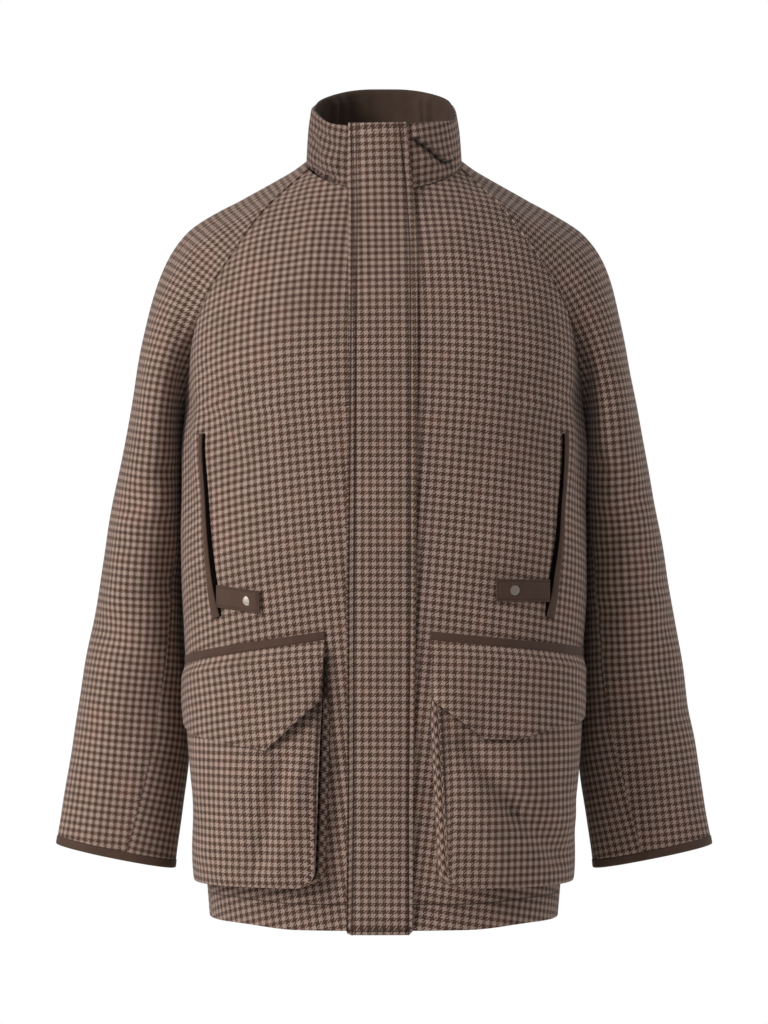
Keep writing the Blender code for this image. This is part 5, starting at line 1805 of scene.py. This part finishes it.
def make_snap(side):
    inner_x, outer_x, inner_z, outer_z, snap_x = TABS[side]
    snap_z = inner_z + (outer_z - inner_z) * (snap_x - inner_x) / (outer_x - inner_x)
    distance = distance_at(np.array((snap_x,)), np.array((snap_z,)))
    points, normals = front_place(distance, np.array((snap_z,)), side)
    seat = Vector(on_side(points[0] + normals[0] * (LAY_GAP + TRIM_WALL), side))
    build = bmesh.new()
    profile = [build.verts.new((share * SNAP_RADIUS, 0.0, height / 1000)) for share, height in SNAP_PROFILE]
    edges = [build.edges.new(pair) for pair in zip(profile[:-1], profile[1:])]
    bmesh.ops.spin(build, geom=profile + edges, axis=(0, 0, 1), cent=(0, 0, 0), steps=SNAP_SIDES,
                   angle=2 * math.pi, use_merge=True)
    bmesh.ops.remove_doubles(build, verts=build.verts, dist=SAME_POINT)
    bmesh.ops.recalc_face_normals(build, faces=build.faces)
    turn = Vector(on_side(normals[0], side)).to_track_quat("Z", "Y").to_matrix().to_4x4()
    build.transform(turn)
    build.transform(turn.Translation(seat))
    name = side_name("tab_snap", side)
    mesh = bpy.data.meshes.new(name)
    build.to_mesh(mesh)
    build.free()
    mesh.shade_smooth()
    mesh.set_sharp_from_angle(angle=SNAP_SHARP_EDGE)
    show(name, mesh, METAL, (name,))


for side in (1, -1):
    make_snap(side)
print("snap width:", 2 * SNAP_RADIUS * 1000, "mm")

# %% [markdown]
# Sewing lies in the grooves. Every stitch is the same short rounded bar, so Geometry Nodes lay it: the
# sewn lines become curves, points go along them at the stitch length, and a bar turned along the line
# is set on each point. The result is made a plain mesh.

# %% Stitches
STITCH_PITCH = 0.0030
STITCH_SHARE = 0.74
STITCH_SIZES = {"Pitch": STITCH_PITCH, "Length": STITCH_PITCH * STITCH_SHARE, "Radius": 0.00028}
STITCH_SIDES = 5


def stitch_tree():
    """Geometry nodes that lay stitches along lines, and the names of their inputs."""
    tree = bpy.data.node_groups.new("stitches", "GeometryNodeTree")
    sockets = {}
    tree.interface.new_socket("Lines", in_out="INPUT", socket_type="NodeSocketGeometry")
    for name, value in STITCH_SIZES.items():
        socket = tree.interface.new_socket(name, in_out="INPUT", socket_type="NodeSocketFloat")
        socket.default_value = value
        sockets[name] = socket.identifier
    tree.interface.new_socket("Stitches", in_out="OUTPUT", socket_type="NodeSocketGeometry")
    given = tree.nodes.new("NodeGroupInput").outputs
    curve = add_node(tree, "GeometryNodeMeshToCurve", {"Mesh": given["Lines"]})
    points = add_node(tree, "GeometryNodeResampleCurve",
                      {"Curve": curve.outputs[0], "Length": given["Pitch"]}, mode="LENGTH")
    bar = add_node(tree, "GeometryNodeMeshCylinder",
                   {"Vertices": STITCH_SIDES, "Side Segments": 2,
                    "Radius": given["Radius"], "Depth": given["Length"]})
    ahead = add_node(tree, "GeometryNodeInputTangent")
    turned = add_node(tree, "FunctionNodeAlignRotationToVector", {"Vector": ahead.outputs[0]}, axis="Z")
    laid = add_node(tree, "GeometryNodeInstanceOnPoints",
                    {"Points": points.outputs[0], "Instance": bar.outputs["Mesh"],
                     "Rotation": turned.outputs[0]})
    real = add_node(tree, "GeometryNodeRealizeInstances", {"Geometry": laid.outputs[0]})
    dyed = add_node(tree, "GeometryNodeSetMaterial", {"Geometry": real.outputs[0], "Material": SEWING})
    done = tree.nodes.new("NodeGroupOutput")
    tree.links.new(dyed.outputs[0], done.inputs["Stitches"])
    return tree, sockets


def lay_stitches():
    """Make one mesh of all the stitches."""
    vertices = np.concatenate(SEWN_LINES)
    starts = np.cumsum([0] + [len(line) for line in SEWN_LINES])
    edges = [(at, at + 1) for begin, end in zip(starts[:-1], starts[1:]) for at in range(begin, end - 1)]
    mesh = bpy.data.meshes.new("sewn_lines")
    mesh.from_pydata(vertices.tolist(), edges, [])
    lines = bpy.data.objects.new("sewn_lines", mesh)
    bpy.context.scene.collection.objects.link(lines)
    tree, sockets = stitch_tree()
    sewing = lines.modifiers.new("stitches", "NODES")
    sewing.node_group = tree
    for name, value in STITCH_SIZES.items():
        sewing[sockets[name]] = value
    made = bpy.data.meshes.new_from_object(lines.evaluated_get(bpy.context.evaluated_depsgraph_get()))
    bpy.data.objects.remove(lines)
    made.name = "stitches"
    piece = bpy.data.objects.new("stitches", made)
    bpy.context.scene.collection.objects.link(piece)
    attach(piece, "root")
    return piece


stitches = lay_stitches()
print("sewn lines:", len(SEWN_LINES), "stitch faces:", len(stitches.data.polygons))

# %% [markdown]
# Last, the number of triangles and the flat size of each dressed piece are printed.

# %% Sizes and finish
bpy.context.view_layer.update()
triangles = {o.name: sum(len(p.vertices) - 2 for p in o.data.polygons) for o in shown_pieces()}
print("pieces:", len(triangles), "triangles:", sum(triangles.values()), "largest:", max(triangles.values()))
for name, (width, length, area) in MADE.items():
    print(f"{name}: flat {width} x {length} m, {area} m2")
